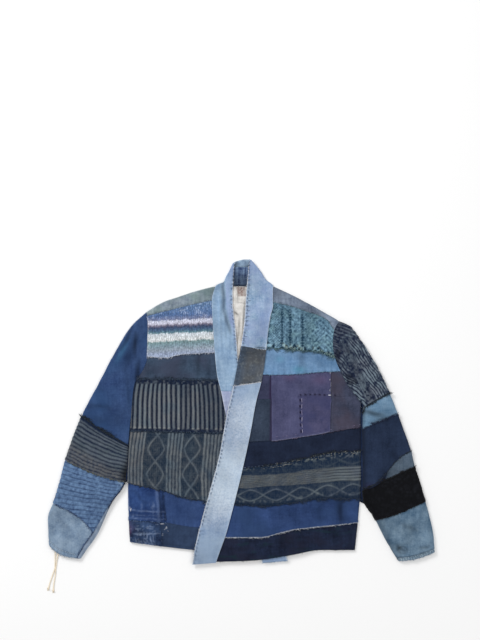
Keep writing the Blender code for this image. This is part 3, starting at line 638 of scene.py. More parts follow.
class Cloth:
    """One cut cloth as a fine grid: its plan, its smooth outer face and then its relief. It lies in a
    lane from the seam named first to the one named last, between the two u_ends, which are shares of
    the lane's width or functions of v. height is its outer face, if that isn't the lane's own."""

    def __init__(self, lane, first, last, wall=PATCH_WALL, u_ends=(0.0, 1.0), height=None,
                 head=None, foot=None, start=None, end=None, seed=1, cell=CELL):
        self.lane, self.wall, self.seed = lane, wall, seed
        given = {"head": head, "foot": foot, "start": start, "end": end}
        self.edges = edges = {which: edge or Edge() for which, edge in given.items()}
        v0 = lane.names.index(first) if isinstance(first, str) else first
        v1 = lane.names.index(last) if isinstance(last, str) else last
        u0, u1 = (e if callable(e) else (lambda v, e=e: np.full(np.shape(v), e)) for e in u_ends)
        width = self._length(lane, u0, u1, v0, v1, True)
        length = self._length(lane, u0, u1, v0, v1, False)
        self.width, self.length = width, length
        fu = shares_along(width, cell, edges["start"], edges["end"])
        fv = shares_along(length, cell, edges["head"], edges["foot"])
        self.fu, self.fv = fu, fv
        v = np.broadcast_to((v0 + (v1 - v0) * fv)[:, None], (len(fv), len(fu))).copy()
        u = u0(v) * (1 - fu) + u1(v) * fu
        # How many mm each point lies in from each edge.
        rows, columns = fv[:, None] * np.ones(u.shape), fu * np.ones(u.shape)
        self.inside = {"head": rows * length, "foot": (1 - rows) * length,
                       "start": columns * width, "end": (1 - columns) * width}
        # Laps push the rows and columns nearest an edge out past their seam, or hold them back.
        mm_u, mm_v = mm_per_unit(lane, u, v, 1), mm_per_unit(lane, u, v, 0)
        x, y = lane.place(u, v)
        out_u = self._push("end", y, y, 4) - self._push("start", y, y, 3)
        out_v = self._push("foot", x, y, 6) - self._push("head", x, y, 5)
        u, v = u + out_u / mm_u, v + out_v / mm_v
        x, y = lane.place(u, v)
        base = height(u, v) if height else lane.height(u, v, wall)
        share = np.ones(x.shape)
        for which in ("start", "end", "head", "foot"):
            edge = edges[which]
            if edge.turn is not None:
                round_share = np.sqrt(held(1 - (1 - held(self.inside[which] / EDGE_RADIUS)) ** 2))
                share = share * (1 - edge.turn(y) * (1 - round_share))
        self.u, self.v, self.x, self.y = u, v, x, y
        self.base = np.stack([x, y, base * share], -1)
        # mm down the cloth, for patterns that follow it.
        self.down = np.cumsum(np.pad(np.hypot(np.diff(x, axis=0), np.diff(y, axis=0)), ((1, 0), (0, 0))), 0)
        self.relief = np.zeros(x.shape)
        self.tone = np.full(x.shape, 0.5)
        self.worn = np.zeros(x.shape)
        self.shade = np.ones(x.shape)

    @staticmethod
    def _length(lane, u0, u1, v0, v1, across):
        """The longest of five runs over the cloth in mm, across it or down it."""
        total = 0.0
        for t in np.linspace(0.1, 0.9, 5):
            steps = np.linspace(0, 1, 30)
            if across:
                v = np.full(30, v0 + (v1 - v0) * t)
                u = u0(v) * (1 - steps) + u1(v) * steps
            else:
                v = v0 + (v1 - v0) * steps
                u = u0(v) * (1 - t) + u1(v) * t
            x, y = lane.place(u, v)
            total = max(total, np.hypot(np.diff(x), np.diff(y)).sum())
        return total

    def _push(self, which, along, y, salt):
        """mm outwards for the points within reach of an edge, whose ragged line the salt varies."""
        edge, d = self.edges[which], self.inside[which]
        ragged = edge.wave * rough(along, along * 0, 15, self.seed * 31 + salt, 3)
        reach = OUT_REACH if edge.lap > 0 or edge.out > 0 else BACK_REACH
        flat = 1 - edge.turn(y) if edge.turn else 1.0
        return (edge.out + ragged) * flat * smooth(1 - d / reach) * np.ones(np.shape(along))

    def rub(self, amount):
        """Wears the cloth at least this much."""
        self.worn = np.maximum(self.worn, amount)

    def darken(self, amount):
        self.shade *= 1 - amount

    def lap_share(self):
        """1 on the stretch that lies over a neighbour, 0 away from it, and how far each point sinks."""
        over, tuck = np.zeros(self.x.shape), np.zeros(self.x.shape)
        for which, edge in self.edges.items():
            d = self.inside[which]
            flat = 1 - edge.turn(self.y) if edge.turn else np.ones(over.shape)
            if edge.lap > 0:
                over = np.maximum(over, smooth(1.6 - d / LAP_WIDTH) * flat)
            elif edge.lap < 0:
                tuck = np.maximum(tuck, smooth((TUCK_WIDTH - edge.lap - d) / TUCK_WIDTH) * flat)
            else:
                tuck = np.maximum(tuck, smooth(1 - d / SEAM_WIDTH) * flat)
        return over, tuck

    def settle(self):
        """Raises the relief from the smooth face, along its normal."""
        over, tuck = self.lap_share()
        relief = self.relief * (1 - tuck) * (1 - 0.6 * over) + LAP_LIFT * over - TUCK * tuck
        across = np.gradient(self.base, axis=1)
        down = np.gradient(self.base, axis=0)
        normal = np.cross(across, down)
        normal *= np.sign(normal[normal.shape[0] // 2, normal.shape[1] // 2, 2])
        normal /= np.maximum(np.linalg.norm(normal, axis=-1, keepdims=True), 1e-9)
        self.face = self.base + normal * relief[..., None]
        self.face[..., 2] = np.maximum(self.face[..., 2], 0.02)
        wall = self.wall * (1 - over) + LAP_WALL * over
        smooth_face = self.base + normal * (LAP_LIFT * over - TUCK * tuck)[..., None]
        self.back = smooth_face - normal * wall[..., None]
        self.back[..., 2] = np.maximum(self.back[..., 2], 0.0)
        self.normal = normal

    def at(self, fu, fv):
        """Points of the outer face at shares of the width and length, and the normals there."""
        i = np.interp(fu, self.fu, np.arange(len(self.fu)))
        j = np.interp(fv, self.fv, np.arange(len(self.fv)))
        i0 = np.clip(np.floor(i).astype(int), 0, len(self.fu) - 2)
        j0 = np.clip(np.floor(j).astype(int), 0, len(self.fv) - 2)
        a, b = (i - i0)[:, None], (j - j0)[:, None]

        def pick(grid):
            above = grid[j0, i0] * (1 - a) + grid[j0, i0 + 1] * a
            below = grid[j0 + 1, i0] * (1 - a) + grid[j0 + 1, i0 + 1] * a
            return above * (1 - b) + below * b

        return pick(self.face), pick(self.normal)


def mesh_object(name, points, quads, material, attributes=(), sharp=60):
    """A mesh object from arrays, with float attributes and smooth shading."""
    data = bpy.data.meshes.new(name)
    quads = np.asarray(quads, np.int32)
    sides = quads.shape[1]
    data.vertices.add(len(points))
    data.vertices.foreach_set("co", (np.asarray(points) * MM).astype(np.float32).ravel())
    data.loops.add(quads.size)
    data.loops.foreach_set("vertex_index", quads.ravel())
    data.polygons.add(len(quads))
    data.polygons.foreach_set("loop_start", np.arange(0, quads.size, sides, dtype=np.int32))
    data.update(calc_edges=True)
    data.validate()
    for key, values in attributes:
        layer = data.attributes.new(key, "FLOAT", "POINT")
        layer.data.foreach_set("value", np.asarray(values, np.float32).ravel())
    data.shade_smooth()
    if sharp:
        data.set_sharp_from_angle(angle=radians(sharp))
    data.materials.append(material)
    piece = bpy.data.objects.new(name, data)
    bpy.context.scene.collection.objects.link(piece)
    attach(piece, "root")
    return piece


def grid_quads(rows, columns, offset=0, flip=False):
    index = np.arange(rows * columns).reshape(rows, columns) + offset
    quads = np.stack([index[:-1, :-1], index[:-1, 1:], index[1:, 1:], index[1:, :-1]], -1).reshape(-1, 4)
    return quads[:, ::-1] if flip else quads


def shell_object(cloth, material, slot, node):
    """The closed wall of a cloth, from its outer and inner face, in place of its solid. Also the
    cloth's flat size in metres and its area."""
    rows, columns = cloth.x.shape
    count = rows * columns
    outer, inner = cloth.face.reshape(-1, 3), cloth.back.reshape(-1, 3)
    centre = cloth.x.shape[0] // 2, cloth.x.shape[1] // 2
    across = cloth.face[centre[0], centre[1] + 1] - cloth.face[centre]
    down = cloth.face[centre[0] + 1, centre[1]] - cloth.face[centre]
    flip = np.cross(across, down)[2] < 0
    index = np.arange(count).reshape(rows, columns)
    ring = np.concatenate([index[0, :-1], index[:-1, -1], index[-1, :0:-1], index[:0:-1, 0]])
    ahead = np.roll(ring, -1)
    rim = np.stack([ahead, ring, ring + count, ahead + count], -1)
    rim = rim[:, ::-1] if flip else rim
    quads = np.concatenate([grid_quads(rows, columns, 0, flip),
                            grid_quads(rows, columns, count, not flip), rim])
    doubled = [(key, np.concatenate([values.ravel(), values.ravel()])) for key, values in
               (("tone", cloth.tone), ("worn", cloth.worn), ("shade", cloth.shade))]
    piece = mesh_object(f"{node}_cloth", np.concatenate([outer, inner]), quads, material, doubled)
    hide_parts(node)
    cells = np.cross(np.gradient(cloth.base, axis=1), np.gradient(cloth.base, axis=0))
    surface = float(np.linalg.norm(cells, axis=-1).sum()) * MM * MM
    flat = (round(cloth.width * MM, 3), round(cloth.length * MM, 3))
    return piece, flat, min(surface, flat[0] * flat[1])


def tubes(name, paths, radii, sides, tone, material):
    """Many closed threads as one mesh: paths is (threads, rings, 3) in mm, radii (threads, rings)."""
    threads, rings, _ = paths.shape
    tangent = np.gradient(paths, axis=1)
    tangent /= np.maximum(np.linalg.norm(tangent, axis=-1, keepdims=True), 1e-9)
    aside = np.cross(tangent, (0.0, 0.0, 1.0))
    aside /= np.maximum(np.linalg.norm(aside, axis=-1, keepdims=True), 1e-9)
    above = np.cross(aside, tangent)
    angle = np.arange(sides) * 2 * pi / sides + pi / 2
    ring = (np.cos(angle)[:, None] * aside[:, :, None, :] + np.sin(angle)[:, None] * above[:, :, None, :])
    points = paths[:, :, None, :] + ring * radii[:, :, None, None]
    points[..., 2] = np.maximum(points[..., 2], 0.0)
    k, j = np.meshgrid(np.arange(rings - 1), np.arange(sides), indexing="ij")
    a, b = k * sides + j, k * sides + (j + 1) % sides
    c, d = b + sides, a + sides
    faces = [np.stack([a, b, c], -1).reshape(-1, 3), np.stack([a, c, d], -1).reshape(-1, 3)]
    top = (rings - 1) * sides
    fan = np.arange(1, sides - 1)
    faces.append(np.stack([0 * fan, fan + 1, fan], -1))
    faces.append(np.stack([0 * fan + top, fan + top, fan + 1 + top], -1))
    one = np.concatenate(faces)
    every = (one[None] + (np.arange(threads) * rings * sides)[:, None, None]).reshape(-1, 3)
    tones = np.repeat(tone, rings * sides)
    piece = mesh_object(name, points.reshape(-1, 3), every[:, ::-1], material,
                        (("tone", tones), ("shade", np.ones(len(tones)))), sharp=0)
    return piece


# ---------------------------------------------------------------- relief, wear and painted shade of the cloths
# Creases in the woven cloth: ends, half width and height in mm; a trough is under zero.
CREASES = {
    # place: (x0, y0, x1, y1, half, rise)
    "right_sleeve": (
        (-300,  150,  -268,  226,   5, -1.0),
        (-318,  128,  -262,  196,   8,  0.9),
        (-264,  202,  -267,  138,   6, -1.1),
        (-264,  104,  -256,   74,   6, -0.8),
        (-296,  100,  -258,  150,   7, -0.3),
        (-345,   60,  -290,   92,   9,  0.8),
        (-386,   18,  -318,    8,   7, -0.7),
        (-330,   20,  -286,  -36,   8,  0.8),
        (-372,   40,  -340,  -24,   7,  0.6),
    ),
    "right_wrist": (
        (-478, -262,  -440, -330,   8,  0.8),
        (-462, -256,  -428, -300,   7, -0.3),
        (-436, -262,  -404, -332,   7,  0.9),
    ),
    "left_sleeve": (
        (318,  -28,   376,  -14,   5, -1.1),
        (312,  -14,   350,    6,   7,  0.8),
        (302,    3,   358,   -9,   5, -1.2),
        (322, -100,   330, -180,   9,  0.8),
        (372,  -96,   404, -132,   8, -0.6),
    ),
    "left_wrist": (
        (372, -292,   420, -352,   7,  0.9),
        (392, -276,   446, -300,   6, -0.7),
        (430, -282,   470, -328,   8,  0.8),
        (386, -330,   410, -352,   4, -1.1),
        (440, -342,   472, -334,   4, -0.8),
    ),
    "right_front": (
        (-256,   60,  -262,  128,   6, -0.8),
        (-216,  262,  -180,  240,   8,  0.5),
        (-110,   82,  -106,  146,   6, -0.9),
        (-176,  126,  -148,  134,   4,  0.6),
        (-170,  112,  -140,  124,   4, -0.4),
        (-84,   96,   -76,  134,   4, -0.4),
        (-196,  112,  -150,  120,   5,  0.4),
        (-270, -196,  -236, -232,   5, -0.7),
        (-198, -206,  -202, -262,   4, -1.0),
    ),
    "left_front": (
        (92,  288,   148,  262,   9,  0.6),
        (150,  266,   216,  232,   7, -0.5),
        (146,   98,   150,  152,   6, -0.6),
        (96,  122,   134,  128,   6,  0.5),
        (186,   98,   222,  112,   6,  0.5),
        (170,  -82,   176, -108,   8,  0.5),
        (247, -218,   245, -280,   8, -0.8),
        (120, -240,   128, -296,   9,  0.4),
        (-8, -330,    60, -318,   4, -0.4),
        (60, -338,   150, -322,   5,  0.4),
    ),
    "right_band": (
        (-46,  330,   -44,  240,   5, -1.0),
        (-43,  262,   -26,  190,   5, -0.8),
        (-57,  300,   -55,  214,   6,  0.7),
    ),
    "left_band": (
        (58,  300,    54,  208,   5,  0.5),
        (30,  340,    26,  262,   6,  0.4),
    ),
}


def crease_height(x, y):
    """The creases' height, and how deep in a trough each place lies."""
    lift, depth = np.zeros(x.shape), np.zeros(x.shape)
    for x0, y0, x1, y1, half, rise in (crease for group in CREASES.values() for crease in group):
        along, aside = beside_line(x, y, x0, y0, x1, y1)
        one = fold(rise, along, aside + 1.5 * np.sin(along * 7 + x0), half, 0.6)
        lift += one
        depth = np.maximum(depth, -one)
    return lift, depth


def crumple(cloth, amount=0.45, creased=True):
    """Soft unevenness all over, and the listed creases."""
    x, y, seed = cloth.x, cloth.y, cloth.seed
    soft = rough(x, y, 52, 3, 2) + 0.5 * rough(x, y, 21, seed, 2) + 0.22 * noise(x, y, 8, seed + 2)
    cloth.relief += amount * soft
    # Painted light and shade on the unevenness.
    cloth.shade *= 1 + 0.16 * np.clip(soft, -1.4, 1.4)
    if creased:
        lift, depth = crease_height(x, y)
        cloth.relief += lift
        # Painted shade in the crease troughs, and painted light on their crests.
        cloth.shade *= np.clip(1 - 0.42 * depth + 0.08 * held(lift), 0.3, 1.25)


def area(cloth, x0, y0, along, aside, angle=0.0):
    """1 at a place, fading to 0 about along and aside mm away from it; angle turns the patch."""
    c, n = cos(radians(angle)), sin(radians(angle))
    dx, dy = cloth.x - x0, cloth.y - y0
    return np.exp(-(((dx * c + dy * n) / along) ** 2) - ((dy * c - dx * n) / aside) ** 2)


def fade_and_shade(cloth, *table):
    """Lighter (above 0) and darker (below 0) areas, each (x, y, along, aside, angle, amount): some the
    cloth's own fading, some painted shade of folds and recesses with painted light beside them.
    """
    for *place, amount in table:
        cloth.shade *= 1 + amount * area(cloth, *place)


def wear(cloth, which, width=4.0, strength=0.8, ragged=0.5):
    """A pale worn line along an edge, of uneven width."""
    d = cloth.inside[which]
    along = cloth.x if which in ("head", "foot") else cloth.y
    reach = width * (1 + ragged * rough(along, along * 0, 14, cloth.seed + 40, 3))
    cloth.rub(strength * smooth(1.4 - d / np.maximum(reach, 0.6)))


def pucker(cloth, which, size=0.35, period=12.0, reach=8.0):
    """The ripples that sewing pulls into an edge, with painted light and shade on them."""
    d = cloth.inside[which]
    along = cloth.x if which in ("head", "foot") else cloth.y
    phase = 2 * pi * along / period + 2.2 * noise(along, along * 0, 40, cloth.seed + 9)
    ripple = np.sin(phase) * np.exp(-d / reach)
    cloth.relief += size * ripple
    cloth.shade *= 1 + 0.16 * ripple


def groove(cloth, which, at, depth=0.4, width=1.6, dark=0.25):
    """A sewn line sunk beside an edge, with painted shade in it."""
    d = cloth.inside[which]
    line = hump(d - at, width)
    cloth.relief -= depth * line
    cloth.darken(dark * line)


def shadow(cloth, which, reach=7.0, dark=0.4):
    """Painted shadow beside an edge that a neighbour's fringe lies over."""
    d = cloth.inside[which]
    cloth.darken(dark * smooth(1 - d / reach))


def bar(at, pitch, fill=0.15):
    """Rounded bars from 0 to 1, one for each pitch."""
    return smooth((np.cos(2 * pi * at / pitch) + 1 - 2 * fill) / (2 - 2 * fill) * 1.25)


def window(at, low, high, soft=3.0):
    return smooth((at - low) / soft + 0.5) * smooth((high - at) / soft + 0.5)


def line_each(at, width):
    """A narrow line at each whole step of a pattern; width is a share of the step."""
    return hump(at - np.round(at), width)


def cell_value(at, seed):
    """A value from 0 to 1 for each whole step of a pattern, such as one rib."""
    return lattice(np.floor(at).astype(np.int64), 0 * np.floor(at).astype(np.int64), seed)


def strand_pair(across, along, centre, half, period, start, width=2.5, angular=0.0, doubled=0.0):
    """Two cable strands that cross once a period: how near each place is to one of them. angular
    straightens their swing, and doubled is the strength of a second strand outside each."""
    turn = pi * (along - start) / period
    wave = (1 - angular) * np.sin(turn) + angular * np.arcsin(np.sin(turn)) / (pi / 2)
    lean = 1 + (pi * half / period * np.cos(turn)) ** 2
    aside, swing = np.abs(across - centre), np.abs(half * wave)
    near = np.exp(-(((aside - swing) ** 2) / lean / width**2))
    outer = np.exp(-(((aside - swing - 5.0) ** 2) / lean / (0.8 * width) ** 2))
    return np.maximum(near, doubled * outer * smooth(2 * swing / half))


RIB_PITCH = 11.2


def ribbed_front(cloth):
    """Upright ribs, tan on dark, a little wavy, with a dark ragged head. They lean towards the sleeve
    there."""
    x, y = cloth.x, cloth.y
    fan = 0.25 * np.clip((-150 - x) / 120, -0.3, 1)
    lean = 34 * (1 - np.exp(-(75 - y) / 34))
    at = (x + fan * lean) / RIB_PITCH + 0.20 * noise(x, y * 0.5, 46, 5) + 0.05 * noise(x, y * 0.6, 15, 6)
    rib = bar(at, 1.0, 0.08)
    own = cell_value(at + 0.5, 8)
    down, up = cloth.inside["head"], cloth.inside["foot"]
    open_part = smooth((down - 8 - 3 * noise(x, 0 * x, 9, 7)) / 4) * smooth((up - 4.5) / 3)
    cloth.relief += 1.5 * rib * open_part - 0.5
    side = smooth((-70 - x) / 150)
    strength = 0.50 + 0.26 * own + 0.22 * side + 0.22 * rough(x, y * 0.4, 22, 9)
    strength -= 0.10 * smooth((y - 10) / 40)
    loops = spots(x, y, 4.5, 10, 0.25, 3) * (1 - open_part)
    cloth.tone = held(rib * open_part * strength + 0.04 + 0.34 * loops * smooth(down / 4))
    cloth.relief += 1.0 * loops
    # Painted shade in the gaps between the ribs and loops.
    cloth.shade *= 0.72 + 0.28 * np.maximum(rib, loops)
    tips = smooth(1 - np.abs(up - 7) / 3) * rib * (own > 0.25)
    cloth.rub(0.34 * tips)


# How far the columns have drifted across, as (y, mm).
CABLE_DRIFT = curve(((-45, 6), (-80, 2.2), (-120, -1.2), (-160, -2.4), (-200, -2.0), (-240, -1.0)))
CABLE_COLUMNS = (-213.5, -124.5)
CABLE_RIBS = ((-285.0, -243.0, 8.8), (-189.0, -148.0, 8.3), (-99.0, 60.0, 9.0))  # from, to, pitch
DIAMOND_HALF = 20.0
DIAMOND_PERIOD = 65.0
DIAMOND_START = -58.5


def cable_front(cloth):
    """Groups of upright ribs between two columns of crossing cables."""
    x, y = cloth.x, cloth.y
    across = x - CABLE_DRIFT(y) + 1.5 * noise(x, y, 42, 6) + 0.7 * noise(x, y, 14, 7)
    ribs, own = np.zeros(x.shape), np.zeros(x.shape)
    for low, high, pitch in CABLE_RIBS:
        group = bar(across - low - pitch / 2, pitch, -0.15) * window(across, low, high)
        own = np.where(group > ribs, cell_value((across - low) / pitch + low, 11), own)
        ribs = np.maximum(ribs, group)
    lines = np.zeros(x.shape)
    for column in CABLE_COLUMNS:
        lines = np.maximum(lines, strand_pair(across, y, column, DIAMOND_HALF, DIAMOND_PERIOD, DIAMOND_START,
                                              2.6, 0.4, 0.25))
        heart = np.hypot(across - column, (np.mod(y - DIAMOND_START, DIAMOND_PERIOD) - 32) * 0.7)
        lines = np.maximum(lines, 0.36 * hump(heart, 9.0) * (0.6 + 0.8 * noise(x, y, 5, 18)))
    field = 0.5 + 0.5 * bar(y, 4.4) * bar(across, 5.0)
    down, up = cloth.inside["head"], cloth.inside["foot"]
    shown = smooth((down - 4 - 2 * noise(x, 0 * x, 8, 12)) / 4)
    cloth.relief += (1.3 * ribs + 1.4 * lines + 0.3 * field) * shown - 0.5
    uneven = 0.66 + 0.26 * own + 0.34 * rough(x, y * 0.5, 20, 13)
    fine = 0.16 * rough(x, y * 0.7, 6, 14)
    cloth.tone = held((0.62 * ribs + 0.60 * lines) * (uneven + 1.2 * fine) + 0.24 * field + fine)
    cloth.tone *= shown * smooth((up + 6) / 9)
    # Painted shade between the ribs and the cables.
    cloth.shade *= 0.62 + 0.38 * np.maximum(np.maximum(ribs, lines), 0.6 * field)
    cloth.worn = 0.28 * ribs * smooth((-232 - x) / 12) * (0.6 + 0.5 * noise(x, y, 16, 19))


# Across the left front's cable knit, as (x, y): the ribs' head and foot, and the chains' middles.
ACROSS_HEAD = curve((
    (8, -158), (80, -157), (114, -153), (162, -146), (209, -141), (257, -135.5), (298, -134),
))
ACROSS_FOOT = curve((
    (8, -189.5), (80, -185), (114, -183), (162, -179.5), (209, -174.7), (257, -171), (298, -172),
))
UPPER_CHAIN = curve(((150, -132), (209, -124), (257, -119), (298, -116)))
LOWER_CHAIN = curve(((8, -209), (114, -205), (209, -197), (298, -193)))


def cable_across(cloth):
    """The same knit turned on its side: tan ribs between two chains of cables."""
    x, y = cloth.x, cloth.y
    top = ACROSS_HEAD(x) + 1.2 * noise(x, 0 * x, 22, 16)
    bottom = ACROSS_FOOT(x) + 1.2 * noise(x, 0 * x, 20, 17)
    band, down = window(y, bottom, top, 3.0), (top - y) / (top - bottom)
    ridged = smooth((x - 186 + 24 * noise(x, y, 40, 12)) / 60)
    wander = 0.18 * noise(x, y, 26, 15)
    fine, coarse = bar(down * 7.4 + wander, 1.0, -0.35), bar(down * 5.0 + 0.5 + wander, 1.0, -0.05)
    ribs = band * (fine * (1 - ridged) + coarse * ridged)
    lines = np.zeros(x.shape)
    for centre, half, width, strength in (
        (UPPER_CHAIN(x), 12.0, 2.2, 0.40 * smooth((x - 165) / 40)), (LOWER_CHAIN(x), 14.0, 2.2, 1.0),
    ):
        chain = strand_pair(y - centre, x, 0.0, half, 64.2, 54.0, width, 0.25, 0.25)
        lines = np.maximum(lines, strength * chain * (0.90 + 0.50 * rough(x, y, 13, 18)))
    lines *= 1 - band
    field = 0.5 + 0.5 * bar(x, 4.6) * bar(y, 4.8)
    cloth.relief += (0.6 + 0.7 * ridged) * ribs + 1.3 * lines + 0.3 * field - 0.4
    tone = 0.15 * band + ribs * (0.20 + 0.42 * ridged) + 0.60 * lines + 0.24 * field
    tone += 0.30 * area(cloth, 221, -191, 12, 8) * bar(x + y, 5.0) - 0.06 * (1 - band)
    tone += 0.10 * window(y, bottom - 34, bottom - 3, 8) * smooth(rough(x, y, 26, 28) + 0.3)
    # Loose loops inside both raw edges: light flecks at the head, dark tufts at the foot.
    head, foot = cloth.inside["head"], cloth.inside["foot"]
    raw = smooth(1.35 - head / (9 + 7 * window(x, 120, 290, 30)))
    loops = spots(x, y, 4.4, 27, 0.2, 4) * raw
    tone = tone * (1 - 0.7 * raw) + (0.62 + 0.3 * smooth((x - 120) / 60)) * loops * smooth(head / 2.5)
    tufts = smooth(1.4 - foot / (9 + 4 * noise(x, 0 * x, 16, 29))) * (0.6 + 0.4 * smooth((120 - x) / 100))
    tone *= 1 - 0.7 * tufts
    frayed = 0.5 * spots(x, y, 5.2, 23, 0.25, 4) * window(foot, 6, 15, 4)
    tone += frayed * (1 - 0.5 * smooth((x - 120) / 60))
    cloth.relief += 1.1 * loops + 1.0 * tufts * noise(x, y, 6, 30)
    cloth.tone = held(tone + 0.12 * rough(x, y, 7, 20))
    cloth.worn = 0.92 * band * (1 - 0.55 * ridged) * (0.62 + 0.38 * fine)
    cloth.worn *= 0.8 + 0.4 * noise(x * 0.5, y, 6, 21)
    # Painted shade between the ribs, the chains and the band's rows.
    cloth.shade *= 0.70 + 0.30 * np.maximum(np.maximum(ribs, np.minimum(lines, 1)), 0.65 * field)
    cloth.darken(0.26 * band * (1 - fine) * (1 - ridged))
    cloth.shade *= 1 + 0.16 * band * noise(x * 0.6, y, 9, 22)
    cloth.darken(0.28 * tufts)


TEAL_COLUMNS = (101.5, 121.5, 152.0)


def teal_front(cloth):
    """Fine knit with three dark columns, a braid between two of them, and diamonds beside."""
    x, y = cloth.x, cloth.y
    dark = np.zeros(x.shape)
    for column in TEAL_COLUMNS:
        dark = np.maximum(dark, hump(x - column + 0.9 * noise(x, y, 12, 4), 2.7))
    dots = bar(y + 1.6 * noise(x, y, 11, 23), 6.4, -0.1)
    dark *= (0.16 + 0.94 * dots) * (0.45 + 0.55 * smooth(cloth.inside["head"] / 22))
    braid = strand_pair(x, y, 137.0, 9.0, 17.0, 6.0, 3.2) * window(x, 122, 151)
    rope = bar(y + 0.9 * (x - 111), 9.0) * window(x, 103, 120)
    mesh = np.maximum(bar(x + y, 6.5, 0.3), bar(x - y, 6.5, 0.3))
    wander = 4 * noise(x, y, 20, 24)
    diamonds = np.maximum(bar(0.8 * x + y + wander, 13.0, 0.35), bar(0.8 * x - y, 13.0, 0.35))
    diamonds *= window(x, 170, 244, 24)
    near_band = window(x, 60, 102, 4)
    cables = np.maximum(0.8 * braid, 0.7 * rope)
    ridge = np.maximum(cables, np.maximum((0.4 + 0.6 * near_band) * mesh, 0.75 * diamonds))
    dark = np.maximum(dark, 0.45 * near_band * (1 - mesh))
    cloth.relief += 1.3 * ridge - 1.0 * dark - 0.3
    grain = 0.34 * noise(x, y, 3.9, 25) + 0.10 * rough(x, y, 26, 15)
    cloth.tone = held(0.34 + 0.36 * ridge - 0.60 * dark + grain)
    # Painted shade between the ridges and in the dark columns, on top of their darker tone.
    cloth.shade *= 0.78 + 0.22 * ridge - 0.25 * dark
    cloth.shade *= 1 + 0.05 * noise(x, y * 0.5, 14, 26)
    # A big chevron near the sleeve.
    fan = bar(np.abs(x - 206) * 0.8 + 0.75 * y + 2 * noise(x, y, 18, 35), 8.5, 0.2) * window(x, 172, 246, 10)
    fan *= window(y, 132, 212, 14)
    cloth.tone = held(cloth.tone + 0.24 * (fan - 0.45) * window(x, 172, 246, 10))
    cloth.relief += 0.7 * fan
    # The raw foot: dark gaps with painted shade in them, and pale mint loops.
    foot = cloth.inside["foot"]
    raw = smooth(1.5 - foot / 12)
    loops, gaps = spots(x, y, 6.2, 36, 0.10, 4), spots(x, y, 6.6, 37, -0.02, 4)
    mint = np.maximum(window(x, 104, 146, 10), window(x, 196, 246, 12)) * 0.75 + 0.25
    cloth.tone = held(cloth.tone - 0.7 * gaps * raw + 0.5 * loops * raw)
    cloth.darken(0.50 * gaps * raw)
    cloth.rub(0.85 * loops * raw * mint)
    cloth.relief += 1.2 * loops * raw - 0.8 * gaps * raw
    # The pattern is fainter at the head.
    faint = smooth(1 - cloth.inside["head"] / 14)
    cloth.tone = cloth.tone * (1 - 0.5 * faint) + 0.5 * 0.5 * faint


STRIPE_LINE = (226.0, -213.0, 0.045)  # the top of the upper white stripe at the side: y, x and its rise
STRIPE_SPAN = (-50.0, 110.0)  # mm below that line that the tone covers


def striped_front(cloth):
    """Narrow upright stitch columns. The tone is how far each place lies below the upper white stripe."""
    y0, x0, rise = STRIPE_LINE
    lane_at = (cloth.x - 0.05 * cloth.y) / 4.6 + 0.1 * noise(cloth.x, cloth.y, 30, 20)
    own = cell_value(lane_at, 19)
    below = y0 + rise * (cloth.x - x0) - cloth.y + 0.8 * noise(cloth.x, cloth.y, 22, 21) + 3.2 * (own - 0.5)
    low, high = STRIPE_SPAN
    cloth.tone = (below - low) / (high - low)
    rib = bar(lane_at, 1.0, 0.0)
    step = np.floor(cloth.y / 6.0 + 0.5 * own).astype(np.int64)
    stitch = lattice(np.floor(lane_at).astype(np.int64), step, 5)
    cloth.relief += 0.9 * rib + 0.5 * noise(cloth.x, cloth.y * 0.6, 6, 3) - 0.2
    # Painted shade between the stitch columns; the stitches also differ at random.
    cloth.shade *= (0.76 + 0.28 * rib) * (0.85 + 0.30 * stitch)
    # Pale yarn comes up here and there above the stripes.
    pale = smooth((stitch - 0.66) / 0.2) * rib * smooth((-2 - below) / 8)
    cloth.rub(0.30 * pale)


def ribbed_sleeve(cloth):
    """Ribs across the sleeve, packed flat and brown near its lower seam."""
    x, y = cloth.x, cloth.y
    share = cloth.fv[:, None] * np.ones(x.shape)
    at = share * 12 + 0.16 * noise(x, y, 30, 31) + 0.08 * noise(x, y, 11, 33)
    rib = bar(at, 1.0, -0.25)
    packed = smooth((share - 0.55 - 0.0016 * (x + 370)) / 0.22)
    grain = noise(x, y, 4.8, 32)
    cloth.relief += 1.4 * rib * (1 - 0.6 * packed) + 0.5 * grain * packed - 0.4
    tone = rib * (0.56 - 0.20 * packed) + 0.10 * packed + 0.10 * grain * (0.5 + packed)
    tone += 0.12 * rough(x, y, 16, 36)
    tone += 0.14 * (cell_value(at, 34) - 0.5)
    cloth.tone = held(tone * smooth((share - 0.03) / 0.08))
    cloth.worn = 0.75 * packed * (0.45 + 0.55 * rib) * (0.7 + 0.5 * grain)
    # Painted shade between the ribs.
    cloth.shade *= 0.64 + 0.36 * rib
    # Deep shade where the sleeve turns under beside the body.
    inner = cloth.inside["end"]
    cloth.darken(0.45 * smooth(1 - inner / 24) * smooth((share - 0.3) / 0.4))
    # Painted shade in the recess beside the body, and lighter areas of the sleeve.
    fade_and_shade(cloth, (-292, -153, 20, 8, 80, -0.6), (-420, -100, 24, 9, -20, 0.10),
          (-306, -108, 26, 14, -20, 0.16))


